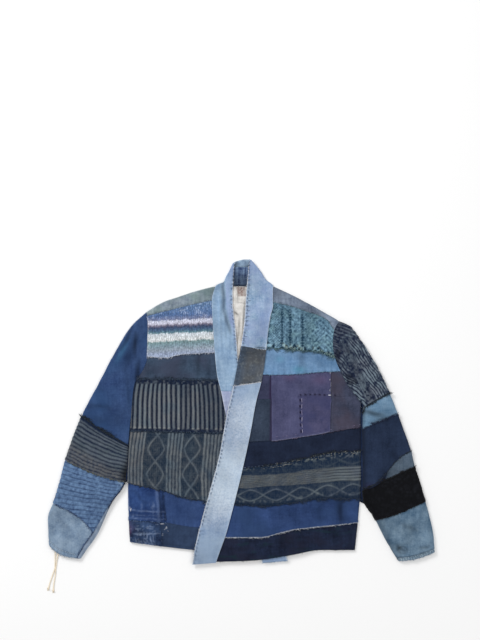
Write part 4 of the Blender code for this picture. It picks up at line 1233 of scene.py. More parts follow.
def ridged_sleeve(cloth):
    """Garter rows that run nearly level across the sleeve, whichever way it is cut."""
    x, y = cloth.x, cloth.y
    slope = 0.12 + 0.22 * smooth((y + 240) / 110)
    at = (y + slope * (x + 400) + 2.4 * noise(x, y, 30, 41)) / 10.6
    dark, half = line_each(at, 0.17), line_each(at + 0.5, 0.13)
    stitch = lattice(np.floor((x - 0.2 * y) / 3.0 + cell_value(2 * at, 47)).astype(np.int64),
                     np.floor(2 * at).astype(np.int64), 44)
    cloth.relief += 0.9 - 1.3 * dark - 0.5 * half + 0.4 * (stitch - 0.5)
    broken = 0.85 + 0.6 * noise(0.5 * x, y, 9, 48)
    tone = 0.61 - 0.36 * dark * broken - 0.10 * half + 0.26 * (stitch - 0.5) + 0.18 * rough(x, y, 16, 45)
    tone += 0.26 * noise(0.8 * x, y, 4.6, 49)
    cloth.tone = held(tone)
    # Painted shade in the sunken rows.
    cloth.darken(0.16 * dark)
    flecks = noise(x, y, 4.0, 46)
    tuft = area(cloth, -295, -178, 11, 8, -50)
    cloth.rub(tuft * smooth((flecks - 0.1) * 4))
    cloth.darken(0.45 * tuft * smooth(-flecks * 3))
    fade_and_shade(cloth, (-430, -138, 26, 12, -25, 0.10), (-352, -240, 10, 40, 30, -0.08),
          (-334, -202, 20, 12, -30, 0.08), (-332, -240, 20, 5, 65, -0.30), (-342, -262, 7, 5, 65, 0.15))


SLEEVE_AXIS = (270.0, 125.0, 0.589, -0.808)  # a point on the upper left sleeve's middle, and its run
CABLE_RUN = (0.44, -0.90)  # the direction of the cables on it
RIDGE_PITCH = 6.2


def cable_sleeve(cloth):
    """Thin ridges along the sleeve's outer half, a braid beside them, and slanted ridges further in."""
    x, y = cloth.x, cloth.y
    x0, y0, run_x, run_y = SLEEVE_AXIS
    down = (x - x0) * run_x + (y - y0) * run_y
    aside = (x - x0) * -run_y + (y - y0) * run_x
    cable = (x - x0) * -CABLE_RUN[1] + (y - y0) * CABLE_RUN[0]
    wander = 2.4 * noise(x, y, 30, 51) + 1.2 * noise(x, y, 12, 53)
    outer = bar(aside + 1.3 * wander + 1.6 * np.sin(down / 9), RIDGE_PITCH, 0.0)
    braid = bar(down + 1.1 * cable + wander, RIDGE_PITCH - 1.0, 0.0)
    slant = bar(0.55 * x + 0.83 * y + 1.9 * wander, RIDGE_PITCH + 1.2, 0.05)
    level = bar(0.36 * x + 0.94 * y + wander, RIDGE_PITCH + 1.0, 0.16)
    to_outer, to_braid = smooth((cable - 14) / 8), smooth((cable + 8) / 8)
    ridge = outer * to_outer + (braid * to_braid + slant * (1 - to_braid)) * (1 - to_outer)
    upper = smooth((y - 168 - 0.2 * (x - 250)) / 22)
    ridge = ridge * (1 - upper) + level * upper
    spine = hump(cable + 6, 2.6) + 0.8 * hump(cable - 14, 2.2)
    ridge *= 1 - 0.75 * held(spine) * (1 - upper)
    ridge *= 0.72 + 0.28 * bar(down - 0.5 * aside + wander, 4.4)
    broken = 0.68 + 0.85 * noise(x, y, 4.6, 54) + 0.55 * noise(x, y, 13, 57)
    dark = spots(x, y, 15, 55, 0.15, 2.5) * (1 - to_outer) * (1 - 0.6 * to_braid)
    cloth.relief += 1.7 * ridge - 0.6
    reveal = 0.26 + 0.66 * smooth((down + 0.6 * aside + 50) / 120) + 0.22 * rough(x, y, 22, 52)
    reveal = reveal * (1 - 0.6 * dark * (1 - upper)) + 0.10 * to_outer * (1 - upper)
    cloth.tone = held(ridge * reveal * broken * 1.40 + 0.13 + 0.22 * noise(x, y, 4.2, 56))
    # Painted shade between the ridges.
    cloth.shade *= 0.74 + 0.26 * ridge
    cloth.darken(0.40 * dark * (1 - upper))
    # Painted shade in the corner by the body and the foot.
    inner, foot = cloth.inside["end"], cloth.inside["foot"]
    cloth.darken(0.6 * smooth(1 - inner / 30) * smooth(1 - foot / 22))


def boucle(cloth):
    """Tight curls of black yarn."""
    curls = np.abs(noise(cloth.x, cloth.y, 8, 61)) + 0.5 * np.abs(noise(cloth.x, cloth.y, 4.5, 62))
    cloth.relief += 1.0 * curls - 0.4
    cloth.tone = held(0.5 * curls - 0.2 + 0.35 * area(cloth, 400, -172, 60, 26, -25) * curls)
    # Painted shade along the edge beside the body.
    inner = cloth.inside["end"]
    cloth.darken(0.3 * smooth(1 - inner / 30))


def plain(cloth):
    crumple(cloth, 0.4)


# ---------------------------------------------------------------- the jacket's lanes
right_front = Lane(RIGHT_SIDE, RIGHT_BAND_SEAM, RIGHT_FRONT_SEAMS)
left_front = Lane(LEFT_BAND_SEAM, LEFT_SIDE, LEFT_FRONT_SEAMS, over_level)
right_band = Lane(RIGHT_BAND_EDGE, RIGHT_BAND_SEAM, RIGHT_BAND_SEAMS)
left_band = Lane(LEFT_BAND_EDGE, LEFT_BAND_SEAM, LEFT_BAND_SEAMS, over_level)
right_sleeve = Sleeve(RIGHT_SLEEVE_SECTIONS, RIGHT_SIDE)
left_sleeve = Sleeve(LEFT_SLEEVE_SECTIONS, LEFT_SIDE)

# The layers seen at the neck, and the back: seams as y at even stations, edges as (y, x).
BACK_SEAMS = (
    ("shoulder", (249, 271, 285.5, 298, 306, 308, 308, 308, 308, 293, 272, 249, 225)),
    ("mid", (-20,) * 13),
    ("hem", (-320, -328, -336, -343, -349, -356, -360, -361, -358, -352, -345, -340, -337)),
)
COLLAR_START = ((381, -10), (375, -17), (365, -21), (354, -24), (345, -29), (327, -37), (305, -52))
COLLAR_END = ((381, 23), (373, 25.5), (362, 33), (352, 41), (336, 51), (305, 72))
COLLAR_SEAMS = (
    ("top", (375, 379, 381, 381, 381)),
    ("facing_head", (362, 362, 362, 362, 362)),
    ("neck", (314, 314, 314, 314, 314)),
)
LINING_START = ((311, -36), (212, -26), (172, -22), (128, -19))
LINING_END = ((311, 24), (208, 15), (163, 8), (128, 3))
LINING_SEAMS = (("neck", (312, 312)), ("point", (128, 128)))
back = Lane(RIGHT_SIDE, LEFT_SIDE, BACK_SEAMS)
collar = Lane(COLLAR_START, COLLAR_END, COLLAR_SEAMS)
lining = Lane(LINING_START, LINING_END, LINING_SEAMS)

RIGHT_TURN, LEFT_TURN = side_turn(-14), side_turn(23)
FLAP_SPLIT, HEM_SPLIT = 0.30, 0.25  # shares of the right front's width where a cloth ends


def split_at(points, first):
    """A seam down the cloth: points are (seams below the one numbered first, share of the width)."""
    below, share = zip(*points)
    return lambda v: np.interp(np.asarray(v) - first, below, share)


SKY_FOOT = left_front.names.index("sky_foot")
strip_seam = split_at(((0, 0.10), (1, 0.14), (2, 0.20)), SKY_FOOT)
plum_seam = split_at(((0, 0.873), (1, 0.735), (1.17, 0.708), (2, 0.714)), SKY_FOOT)
patch_edge = split_at(((1, 0.405), (2, 0.45)), SKY_FOOT)
STRIP_NARROWS = ((5, 6, 7), (0.17, 0.22, 1.0))  # sections of the sleeve, share of the strip's width


def sleeve_strip(v):
    """Where the right sleeve's edge strip starts, as a share of its width. It narrows above the elbow."""
    width = EDGE_STRIP_WIDTH * np.interp(v, *STRIP_NARROWS)
    return 1 - width / mm_per_unit(right_sleeve, 0.5 * np.ones(np.shape(v)), v, 1)


def on_the_purple(u, v):
    return left_front.height(u, v, PATCH_WALL) + GAP + APPLIED_WALL


# ---------------------------------------------------------------- the paints: dark, light and more
denim("royal", (22, 38, 74), (62, 86, 126), angle=25, patch=60, mottle=0.6, tint=(40, 66, 104),
      accent=(54, 94, 128))
denim("grey_green", (81, 94, 114), (164, 176, 184), tint=(98, 118, 116), patch=36, mottle=0.8, streak=0.8)
denim("grey", (72, 84, 104), (136, 149, 167), patch=40, mottle=0.8, streak=0.8)
denim("slate", (26, 38, 55), (72, 90, 112), patch=46, tint=(56, 60, 78))
denim("sky", (68, 103, 140), (126, 158, 192), angle=90, patch=52, accent=(76, 142, 164))
denim("plum_strip", (34, 40, 60), (70, 72, 100), patch=30, accent=(52, 44, 74))
denim("slate_strip", (29, 38, 54), (59, 70, 88), accent=(50, 46, 72))
denim("purple", (50, 53, 82), (90, 91, 124), patch=44, accent=(88, 74, 104))
denim("purple_patch", (48, 51, 80), (88, 86, 117), patch=36, tint=(56, 60, 96))
denim("plum", (32, 39, 56), (77, 81, 103), patch=40, tint=(70, 64, 78))
denim("navy", (15, 21, 37), (35, 45, 67), patch=60)
denim("blue", (23, 40, 74), (57, 79, 125), patch=52, tint=(40, 60, 94))
denim("blue_right", (30, 49, 88), (60, 82, 126), patch=52)
denim("navy_hem", (12, 17, 32), (35, 45, 69), patch=30, angle=90, mottle=0.8, streak=0.9, tint=(31, 33, 50),
      accent=(24, 42, 52))
denim("flap", (20, 38, 79), (53, 78, 125), mottle=0.8, streak=0.8, worn=(140, 161, 200))
denim("hem_faded", (18, 29, 54), (62, 84, 121), mottle=1.0, streak=0.8, worn=(140, 157, 186),
      accent=(84, 46, 70))
denim("hem_slate", (28, 39, 61), (53, 70, 98), worn=(190, 196, 206))
denim("band", (98, 128, 162), (174, 192, 210), mottle=0.8, streak=0.8, grain=1.1, worn=(222, 226, 228),
      tint=(126, 142, 178), patch=30)
denim("band_right", (101, 129, 162), (161, 185, 207), mottle=0.6, streak=0.7, grain=0.9,
      worn=(222, 225, 228), patch=30, accent=(140, 150, 194))
denim("band_low", (98, 122, 157), (158, 175, 196), mottle=0.8, streak=0.7, grain=1.0, worn=(206, 214, 222),
      tint=(150, 170, 193), patch=60, accent=(176, 195, 206))
denim("lilac", (124, 132, 166), (176, 186, 208), streak=0.8, worn=(226, 226, 230))
denim("canvas", (47, 57, 71), (80, 93, 110), grain=0.9, worn=(128, 132, 130), accent=(84, 82, 77))
denim("collar", (45, 64, 102), (177, 204, 226), mottle=0.4, streak=0.5, grain=0.4, patch=14,
      worn=(190, 206, 218))
denim("facing", (28, 43, 78), (114, 136, 162), mottle=0.5, streak=1.6, patch=16, centre=0.34)
denim("lining", (166, 162, 157), (239, 237, 234), mottle=0.6, streak=0.7, grain=0.5, worn=(126, 104, 98),
      patch=22, accent=(150, 140, 134))
denim("sleeve_sky", (67, 99, 126), (127, 154, 178), patch=34)
denim("sleeve_navy", (19, 29, 47), (45, 58, 84), patch=60, accent=(50, 44, 74))
denim("sliver", (50, 66, 83), (100, 114, 129), streak=1.0, worn=(26, 35, 56))
denim("cuff_left", (60, 86, 110), (120, 142, 160), patch=26, angle=20, mottle=0.8, worn=(158, 174, 182))
denim("cuff_right", (84, 106, 132), (146, 164, 182), patch=34, angle=-20, mottle=0.8)
denim("strip", (100, 116, 138), (141, 155, 172), patch=14, worn=(30, 40, 62))
denim("under", (24, 36, 62), (46, 64, 100), patch=80)
knit("ribbed", (13, 27, 51), (110, 115, 119), tint=(90, 104, 114))
knit("cable", (24, 42, 62), (107, 112, 115), tint=(92, 107, 118), worn=(126, 114, 106))
knit("cable_low", (19, 38, 62), (96, 105, 110), tint=(82, 90, 104), worn=(93, 94, 92))
knit("ribbed_sleeve", (17, 32, 57), (99, 108, 116), angle=60, tint=(86, 98, 100), worn=(104, 100, 98))
knit("teal", (28, 61, 85), (128, 165, 188), tint=(116, 150, 156), fleck=1.0, worn=(184, 208, 202))
knit("blue_knit", (44, 64, 99), (104, 132, 167), fleck=0.55, worn=(178, 190, 196))
knit("sleeve_cable", (20, 32, 58), (110, 124, 136), angle=-50, tint=(98, 102, 114), fleck=0.7)
knit("black", (9, 10, 14), (25, 27, 33), fleck=0.4)
striped("striped", (
    (-50, (102, 132, 168)), (-14, (84, 110, 154)), (-3, (116, 124, 154)), (0, (194, 198, 216)),
    (7, (194, 194, 212)), (11, (122, 118, 136)), (16, (62, 72, 100)), (23, (70, 94, 124)),
    (30, (98, 130, 142)), (33, (196, 204, 212)), (49, (206, 210, 212)), (53, (114, 140, 144)),
    (62, (124, 146, 158)), (72, (144, 156, 170)), (82, (142, 154, 178)), (110, (146, 160, 184)),
))
for thread_colours in (
    # name, dark and light
    ("dark_ends", (14, 20, 30), (60, 72, 84)),
    ("deep_ends", (24, 36, 56), (74, 90, 110)),
    ("black_ends", (8, 8, 10), (34, 34, 40)),
    ("navy_ends", (18, 24, 42), (48, 58, 88)),
    ("blue_ends", (38, 58, 98), (104, 130, 172)),
    ("pale_blue_ends", (96, 122, 152), (176, 192, 206)),
    ("sky_ends", (80, 120, 154), (140, 172, 192)),
    ("teal_ends", (28, 58, 72), (126, 160, 164)),
    ("lime_ends", (92, 134, 144), (184, 208, 202)),
    ("purple_ends", (76, 72, 100), (132, 122, 148)),
    ("plum_ends", (50, 46, 66), (100, 90, 112)),
    ("pale_ends", (132, 144, 168), (218, 220, 228)),
    ("marl_ends", (74, 98, 134), (150, 166, 190)),
    ("cable_ends", (34, 46, 56), (112, 112, 104)),
    ("moss_ends", (66, 68, 58), (128, 124, 96)),
    ("bone_ends", (92, 100, 106), (176, 174, 164)),
    ("white_ends", (170, 178, 194), (232, 232, 232)),
    ("white_thread", (176, 180, 194), (226, 226, 230)),
    ("lilac_thread", (136, 130, 164), (206, 202, 222)),
    ("slate_thread", (74, 92, 120), (124, 140, 164)),
    ("navy_thread", (20, 30, 56), (44, 58, 96)),
    ("ink_thread", (22, 20, 42), (40, 36, 66)),
    ("pale_thread", (150, 170, 186), (196, 206, 214)),
    ("purple_thread", (80, 74, 108), (134, 122, 152)),
):
    thread(*thread_colours)

# ---------------------------------------------------------------- every cloth
CLOTHS, EXTRAS = {}, {}  # by node: the cloth, and the pieces of thread on it
OVER, FRINGED, TUCKED = 2.0, 2.5, -3.0  # mm of lap


def add_cloth(node, lane, first, last, paint, slot, look, rests_on, **settings):
    """Makes one cloth in place of its solid: its form, its look and then its closed shell."""
    cloth = Cloth(lane, first, last, seed=len(CLOTHS) + 1, **settings)
    look(cloth)
    cloth.settle()
    cloth.piece, cloth.flat, cloth.area = shell_object(cloth, PAINTS[paint], slot, node)
    cloth.rests_on, cloth.slot = rests_on, slot
    CLOTHS[node], EXTRAS[node] = cloth, []


def adder(prefix, lane, rests_on, **shared):
    """A shorter add_cloth for one lane, whose cloths share some settings."""
    def add(part, first, last, paint, slot, look, **settings):
        add_cloth(f"{prefix}_{part}", lane, first, last, paint, slot, look, rests_on,
                  **{**shared, **settings})
    return add


def looks(*steps):
    """One look from several steps, each (function, its further arguments)."""
    def apply(cloth):
        for step in steps:
            function, *arguments = step if isinstance(step, tuple) else (step,)
            function(cloth, *arguments)
    return apply


def turned_edge():
    return Edge(turn=turned)


# How far across the under sleeves reach towards the body, as (section, share of the width).
# Past a sleeve's inner edge they fill the gap to the body: a dark sheet where there is only painted shade.
UNDER_REACH = {
    "right": ((0, 0.97), (1.2, 0.98), (2.0, 1.02), (4.2, 1.085), (4.93, 1.07), (5.12, 0.985), (20, 0.97)),
    "left": ((0, 1.04), (1.0, 1.06), (2.0, 1.09), (3.0, 1.09), (4.0, 1.10), (6.0, 1.085), (8.0, 1.055),
             (8.35, 0.985), (20, 0.97)),
}
# How far the back panel stays inside the body's sides, as (seam, share of the width): it meets the
# under sleeves at the armholes, and stays under the fronts below them.
BACK_INSET = curve(((0, 0.0005), (0.86, 0.0005), (1.0, 0.006), (2, 0.006)))


def flat_at(height):
    """A flat outer face for Cloth, at a height in mm."""
    return lambda u, v: height + 0 * u


def make_hidden_cloths():
    under = dict(wall=BACK_WALL, height=flat_at(BACK_WALL), cell=PLAIN_CELL)
    add_cloth("back_panel", back, "shoulder", "hem", "under", "blue_denim", plain, ["floor"], **under,
              u_ends=(BACK_INSET, lambda v: 1 - BACK_INSET(v)))
    for side, sleeve in (("right", right_sleeve), ("left", left_sleeve)):
        add_cloth(f"{side}_sleeve_under", sleeve, "armhole", "cuff", "under", "blue_denim", underarm_look,
                  ["floor"], **under, u_ends=(0.03, curve(UNDER_REACH[side])))


def underarm_look(cloth):
    """Dark in the gap between the sleeve and the body, where no light reaches."""
    plain(cloth)
    cloth.darken(0.8 * smooth(1.2 - cloth.inside["end"] / 16))


LINING_FOLDS = (
    # x0, y0, x1, y1, half, rise
    (-20, 252, -6, 240, 2.6, -1.8), (-16, 274, 16, 270, 1.6, -0.8), (-4, 245, -8, 175, 2.8, -1.2),
    (9, 282, 4, 180, 2.6, -1.3), (-17, 246, -12, 190, 2.4, 0.8), (-10, 300, -9, 268, 2.0, -0.9),
    (2, 262, 0, 215, 3.5, 0.9), (-15, 218, -9, 160, 1.8, -0.8),
)


def lining_look(cloth):
    """Cream cotton with soft folds that run down to the point, painted shade in their troughs and painted
    light on their crests, and a plain mauve stretch at the neck.
    """
    x, y = cloth.x, cloth.y
    cloth.relief += 0.5 * rough(x * 1.6, y, 16, 5, 2)
    for *line, half, rise in LINING_FOLDS:
        one = fold(rise, *beside_line(x, y, *line), half, 0.7)
        cloth.relief += one
        # Painted shade in the folds' troughs and painted light on their crests.
        cloth.shade *= np.clip(1 + 0.36 * np.minimum(one, 0) + 0.05 * np.maximum(one, 0), 0.4, 1.1)
    mauve = window(x + 0.16 * (y - 290), -9, 12, 4) * window(y, 289, 312, 3)
    cloth.rub(1.1 * mauve * (0.8 + 0.3 * noise(x, 0.2 * y, 5, 92)))
    cloth.darken(0.22 * smooth((y - 298) / 12))
    cloth.tone = smooth(1.2 - cloth.inside["end"] / 12) * 0.7


def collar_look(cloth):
    crumple(cloth, 0.3, False)
    cloth.shade *= 0.62 + 0.38 * smooth((cloth.y - 358) / 12)
    # Painted shade in two patches, one near each end of the roll.
    dark = area(cloth, -13, 368, 4.5, 9, -10) + 0.8 * area(cloth, 14, 362, 5, 12)
    cloth.darken(0.55 * held(dark))
    wear(cloth, "head", 2.5, 0.5)


def facing_look(cloth):
    crumple(cloth, 0.3, False)
    cloth.relief += 0.35 * np.sin(cloth.x * 2 * pi / 7 + 1.5 * noise(cloth.x, cloth.y, 20, 3))
    cloth.shade *= 0.62 + 0.75 * smooth((cloth.y - 330) / 26)
    cloth.shade *= 0.75 + 0.25 * smooth((cloth.x + 18) / 9)
    shadow(cloth, "foot", 9, 0.55)


def make_neck():
    add_cloth("back_lining", lining, "neck", "point", "lining", "lining_cotton", lining_look,
              ["back_panel_cloth"], wall=LINING_WALL, cell=FINE_CELL,
              height=flat_at(BACK_WALL + GAP + LINING_WALL), u_ends=(-0.05, 1.05))
    add = adder("collar", collar, ["floor"], wall=COLLAR_WALL, cell=FINE_CELL,
                height=flat_at(COLLAR_WALL + 0.8))
    add("back", "top", "facing_head", "collar", "light_denim", collar_look, head=turned_edge())
    add("facing", "facing_head", "neck", "facing", "navy_denim", facing_look)


def yoke_look(cloth):
    crumple(cloth, 0.5)
    pucker(cloth, "foot", 0.3, 14)
    cloth.darken(0.16 * smooth(1 - cloth.inside["head"] / 9))


def right_yoke_look(cloth):
    """Brown-grey at the shoulder, pale in the middle and green towards the neck."""
    yoke_look(cloth)
    brown, at_sleeve = area(cloth, -92, 286, 26, 16, 20), area(cloth, -226, 246, 26, 10, 20)
    cloth.tone = np.maximum(0.9 * brown, 0.8 * at_sleeve)
    fade_and_shade(cloth, (-128, 283, 26, 12, 20, 0.16), (-170, 268, 22, 12, 20, -0.12), (-74, 300, 10, 20, 0, -0.2),
          (-238, 240, 16, 12, 0, -0.12))


def left_yoke_look(cloth):
    """Dark beside the collar, mauve in the middle and pale green-grey towards the sleeve."""
    yoke_look(cloth)
    cloth.tone = 0.8 * area(cloth, 206, 232, 30, 12, -30)
    fade_and_shade(cloth, (90, 296, 16, 10, -25, -0.26), (112, 282, 12, 7, -25, -0.16), (160, 262, 30, 8, -28, 0.10),
          (214, 236, 20, 8, -32, 0.12))


def flap_look(cloth):
    """Faded and rubbed, with pale frayed lines across it, and painted shadow under the fringe above."""
    crumple(cloth, 0.6)
    for level, strength in ((-247, 0.55), (-257, 0.25), (-266, 0.5)):
        line = hump(cloth.y - level + 0.06 * (cloth.x + 240) + 2.2 * noise(cloth.x, cloth.y, 16, 8), 1.7)
        cloth.rub(strength * line * (0.6 + 0.5 * noise(cloth.x, cloth.y, 9, 4)))
        cloth.relief += 0.5 * line
    rubbed = smooth(rough(cloth.x * 1.4, cloth.y * 0.7, 14, 33) * 2.2 - 0.5) * smooth((-218 - cloth.y) / 20)
    cloth.rub(0.30 * rubbed)
    edge = cloth.inside["end"]
    cloth.rub(0.22 * hump(edge - 16, 4))
    groove(cloth, "end", 2.6, 0.7, 2.4, 0.6)
    groove(cloth, "end", 10.0, 0.5, 2.0, 0.5)
    wear(cloth, "start", 2.0, 0.35, 0.8)
    fade_and_shade(cloth, (-262, -220, 16, 22, 0, 0.14), (-232, -205, 14, 10, 0, -0.12),
          (-207, -268, 8, 20, 0, -0.25))
    shadow(cloth, "head", 5, 0.4)


def faded_hem_look(cloth):
    """Whiskers and a frayed block near the hem."""
    crumple(cloth, 0.6)
    x, y = cloth.x, cloth.y
    whiskers = bar(x + 0.25 * y + 4.5 * noise(x, y, 16, 5), 7.5, 0.3)
    whiskers *= window(y + 3 * noise(x, 0 * y, 9, 6), -334, -303, 7)
    whiskers *= window(x, -264, -218, 8)
    cloth.rub(0.62 * whiskers * (0.5 + 0.8 * noise(x, y, 6, 11)))
    line = hump(y + 304 + 1.8 * noise(x, y, 12, 7), 1.6) * window(x, -270, -214, 8)
    cloth.rub(0.55 * line)
    flecks = spots(x, y * 2.2, 6, 12, 0.35, 4)
    cloth.rub(0.34 * flecks)
    cloth.tone = 0.9 * area(cloth, -276, -292, 12, 22) * (0.6 + 0.6 * noise(x, y, 10, 13))
    fade_and_shade(cloth, (-232, -288, 22, 10, 0, 0.10), (-205, -300, 10, 26, 0, -0.22), (-274, -330, 10, 8, 0, -0.2))
    cloth.relief += 0.4 * whiskers
    groove(cloth, "foot", 6.0, 0.4, 1.4, 0.3)


def slate_hem_look(cloth):
    crumple(cloth, 0.45)
    x, y = cloth.x, cloth.y
    specks = spots(x, y, 3.2, 81, 0.62, 6) * window(x, -201, -182, 6) * window(y, -308, -284, 6)
    cloth.rub(0.6 * specks)
    groove(cloth, "foot", 7.0, 0.4, 1.4, 0.25)


def make_right_front():
    side, tucked = Edge(turn=RIGHT_TURN), Edge(TUCKED)
    add = adder("right_front", right_front, ["back_panel_cloth"], end=tucked)
    add("yoke", "shoulder", "yoke_foot", "grey_green", "grey_green_denim", right_yoke_look,
        head=turned_edge(), foot=tucked)
    add("striped_knit", "yoke_foot", "striped_foot", "striped", "striped_knit",
        looks(striped_front, (wear, "start", 2.6, 0.25), (wear, "foot", 2.0, 0.3)), cell=KNIT_CELL,
        head=Edge(OVER, wave=0.8), foot=Edge(1.2, wave=1.0), start=Edge(OVER, wave=0.6))
    add("slate_denim", "striped_foot", "slate_foot", "slate", "slate_denim",
        looks((crumple, 0.5), (shadow, "foot", 7, 0.5)), head=tucked, foot=tucked)
    add("ribbed_knit", "slate_foot", "ribbed_foot", "ribbed", "ribbed_knit", ribbed_front, cell=KNIT_CELL,
        head=Edge(OVER, wave=1.0), foot=Edge(OVER, wave=0.8), start=side)
    add("cable_knit", "ribbed_foot", "cable_foot", "cable", "cable_knit", cable_front, cell=KNIT_CELL,
        head=tucked, foot=Edge(FRINGED, wave=3.4), start=side)
    add("blue_flap", "cable_foot", "blue_foot", "flap", "faded_denim", flap_look,
        u_ends=(0.0, FLAP_SPLIT), head=tucked, foot=Edge(1.2, wave=0.8), start=side, end=Edge(1.5))
    add("blue_denim", "cable_foot", "blue_foot", "blue_right", "blue_denim",
        looks(crumple, (shadow, "head", 5, 0.4), (pucker, "foot", 0.25)), u_ends=(FLAP_SPLIT, 1.0),
        head=tucked, start=tucked)
    add("hem_faded", "blue_foot", "hem", "hem_faded", "faded_denim", faded_hem_look,
        u_ends=(0.0, HEM_SPLIT), head=tucked, start=side, end=Edge(1.2))
    add("hem_slate", "blue_foot", "hem", "hem_slate", "navy_denim", slate_hem_look,
        u_ends=(HEM_SPLIT, 1.0), start=tucked)


def sky_look(cloth):
    crumple(cloth, 0.5)
    shadow(cloth, "head", 5, 0.35)
    pucker(cloth, "foot", 0.3, 16)
    x, y = cloth.x, cloth.y
    cloth.shade *= 1 + 0.05 * noise(x * 0.25, y, 5, 93)
    cloth.tone = held(0.65 * area(cloth, 144, 106, 24, 12) + 0.5 * area(cloth, 96, 132, 16, 12))
    fade_and_shade(cloth, (134, 126, 22, 3.5, 4, 0.18), (156, 124, 4, 26, 0, -0.13), (120, 116, 24, 4, 3, 0.10),
          (92, 120, 8, 20, 0, 0.06), (186, 128, 26, 14, 0, -0.05), (222, 106, 12, 8, 0, 0.10))


def purple_look(cloth):
    crumple(cloth, 0.4)
    x, y = cloth.x, cloth.y
    for column in (78, 112):
        line = hump(x - column, 1.5) * window(y, -70, 60, 20)
        cloth.relief += 0.3 * line
    wear(cloth, "foot", 1.4, 0.16)
    groove(cloth, "foot", 5.0, 0.3, 1.2, 0.14)
    cloth.tone = 0.7 * held(area(cloth, 196, 80, 34, 18) + area(cloth, 120, 86, 22, 12))
    fade_and_shade(cloth, (150, 70, 14, 18, 0, -0.10), (210, 84, 14, 20, 0, 0.10), (120, -40, 20, 16, 0, 0.05))


# The middles of the dark stitches along the patch's head and down its side.
HEAD_SPOTS = ((147, 43.5), (159, 44), (171, 44.6), (183, 44.8), (195, 44.2), (207, 43.2))
SIDE_SPOTS = ((146, 29), (145.4, 14), (146.4, -1), (146, -16), (147.2, -32), (148.4, -48))


def patch_look(cloth):
    """The stitches pull dark dimples into the patch's head and side."""
    crumple(cloth, 0.25)
    pucker(cloth, "start", 0.35, 7.5, 5)
    pucker(cloth, "head", 0.35, 7.5, 5)
    for x, y in HEAD_SPOTS + SIDE_SPOTS:
        spot = area(cloth, x, y, 3.6, 3.8)
        cloth.relief -= 0.5 * spot
        cloth.darken(0.55 * spot)
    cloth.shade *= 1 + 0.14 * area(cloth, 139, 0, 4, 50)


def strip_look(cloth):
    """Darker and redder beside the purple denim."""
    crumple(cloth, 0.45)
    near = smooth(1.4 - cloth.inside["end"] / 8)
    cloth.tone = near
    cloth.darken(0.14 * near)


def plum_look(cloth):
    crumple(cloth, 0.45)
    pucker(cloth, "foot", 0.3)
    fade_and_shade(cloth, (232, 80, 10, 30, 0, -0.12), (262, 60, 14, 14, 0, -0.10), (252, -20, 26, 22, 0, 0.06))


def left_hem_look(cloth):
    crumple(cloth, 0.45)
    shadow(cloth, "head", 4, 0.3)
    line = hump(cloth.y - cloth.lane.place(cloth.u, 8.35 + 0 * cloth.v)[1] + 0.02 * cloth.x, 1.3)
    cloth.relief -= 0.3 * line
    cloth.tone = 0.9 * smooth(rough(cloth.x, cloth.y * 3, 30, 15) * 1.5 - 0.1)
    cloth.shade *= 1 + 0.10 * noise(cloth.x * 0.2, cloth.y, 5, 88)
    fade_and_shade(cloth, (110, -318, 30, 12, 0, -0.18), (262, -300, 20, 30, 0, 0.15), (40, -352, 60, 10, 3, 0.12))


def left_blue_look(cloth):
    """A soft fold near the side with painted shade in it, and paler cloth on both sides of it."""
    crumple(cloth, 0.5)
    shadow(cloth, "head", 6, 0.45)
    wear(cloth, "foot", 1.0, 0.36, 0.9)
    fade_and_shade(cloth, (247, -248, 6, 34, 0, -0.38), (272, -246, 9, 26, 0, 0.14), (214, -252, 18, 26, 0, 0.08),
          (120, -262, 8, 34, 0, -0.08), (60, -278, 30, 22, 0, 0.05), (288, -262, 5, 20, 0, 0.2))


def make_left_front():
    side, tucked = Edge(turn=LEFT_TURN), Edge(TUCKED)
    under_band = Edge(TUCKED, out=5.0)
    add = adder("left_front", left_front,
                ["back_panel_cloth", "right_band_upper_cloth", "right_band_lower_cloth"], start=under_band)
    add("yoke", "shoulder", "yoke_foot", "grey", "grey_denim", left_yoke_look,
        head=turned_edge(), end=tucked, foot=tucked)
    add("teal_knit", "yoke_foot", "teal_foot", "teal", "teal_knit", teal_front, cell=KNIT_CELL,
        head=Edge(OVER, wave=0.6), foot=Edge(FRINGED, wave=1.8), end=tucked)
    add("sky_denim", "teal_foot", "sky_foot", "sky", "sky_denim", sky_look,
        head=tucked, foot=Edge(1.2, wave=0.5), end=tucked)
    add("plum_strip", "sky_foot", "plum_break", "plum_strip", "plum_cloth", strip_look,
        u_ends=(0.0, strip_seam), head=tucked, end=tucked)
    add("slate_strip", "plum_break", "purple_foot", "slate_strip", "slate_denim", strip_look,
        u_ends=(0.0, strip_seam), end=tucked)
    add("purple_denim", "sky_foot", "purple_foot", "purple", "purple_denim", purple_look,
        u_ends=(strip_seam, plum_seam), head=tucked, foot=Edge(1.5, wave=1.0), start=Edge(1.0),
        end=Edge(1.0))
    add("plum_upper", "sky_foot", "plum_break", "plum", "plum_cloth", plum_look,
        u_ends=(plum_seam, 1.0), head=tucked, start=tucked, end=tucked)
    add("plum_lower", "plum_break", "purple_foot", "plum", "plum_cloth", plum_look,
        u_ends=(plum_seam, 1.0), start=tucked, end=side, foot=Edge(1.5, wave=0.8))
    add_cloth("left_front_stitched_patch", left_front, 3.90, 4.96, "purple_patch", "purple_denim",
              patch_look, ["left_front_purple_denim_cloth"], u_ends=(patch_edge, plum_seam),
              wall=APPLIED_WALL, height=on_the_purple)
    add("navy_denim", "purple_foot", "navy_foot", "navy", "navy_denim",
        looks(crumple, (shadow, "head", 4, 0.3)), head=tucked, foot=tucked, end=side)
    add("cable_knit", "navy_foot", "cable_foot", "cable_low", "cable_knit", cable_across, cell=KNIT_CELL,
        head=Edge(0.8, wave=1.4), foot=Edge(FRINGED, wave=1.4), end=side)
    add("blue_denim", "cable_foot", "blue_foot", "blue", "blue_denim", left_blue_look,
        head=tucked, foot=Edge(1.6, wave=0.4), end=side)
    add("hem_navy", "blue_foot", "hem", "navy_hem", "navy_denim", left_hem_look, head=tucked, end=side)


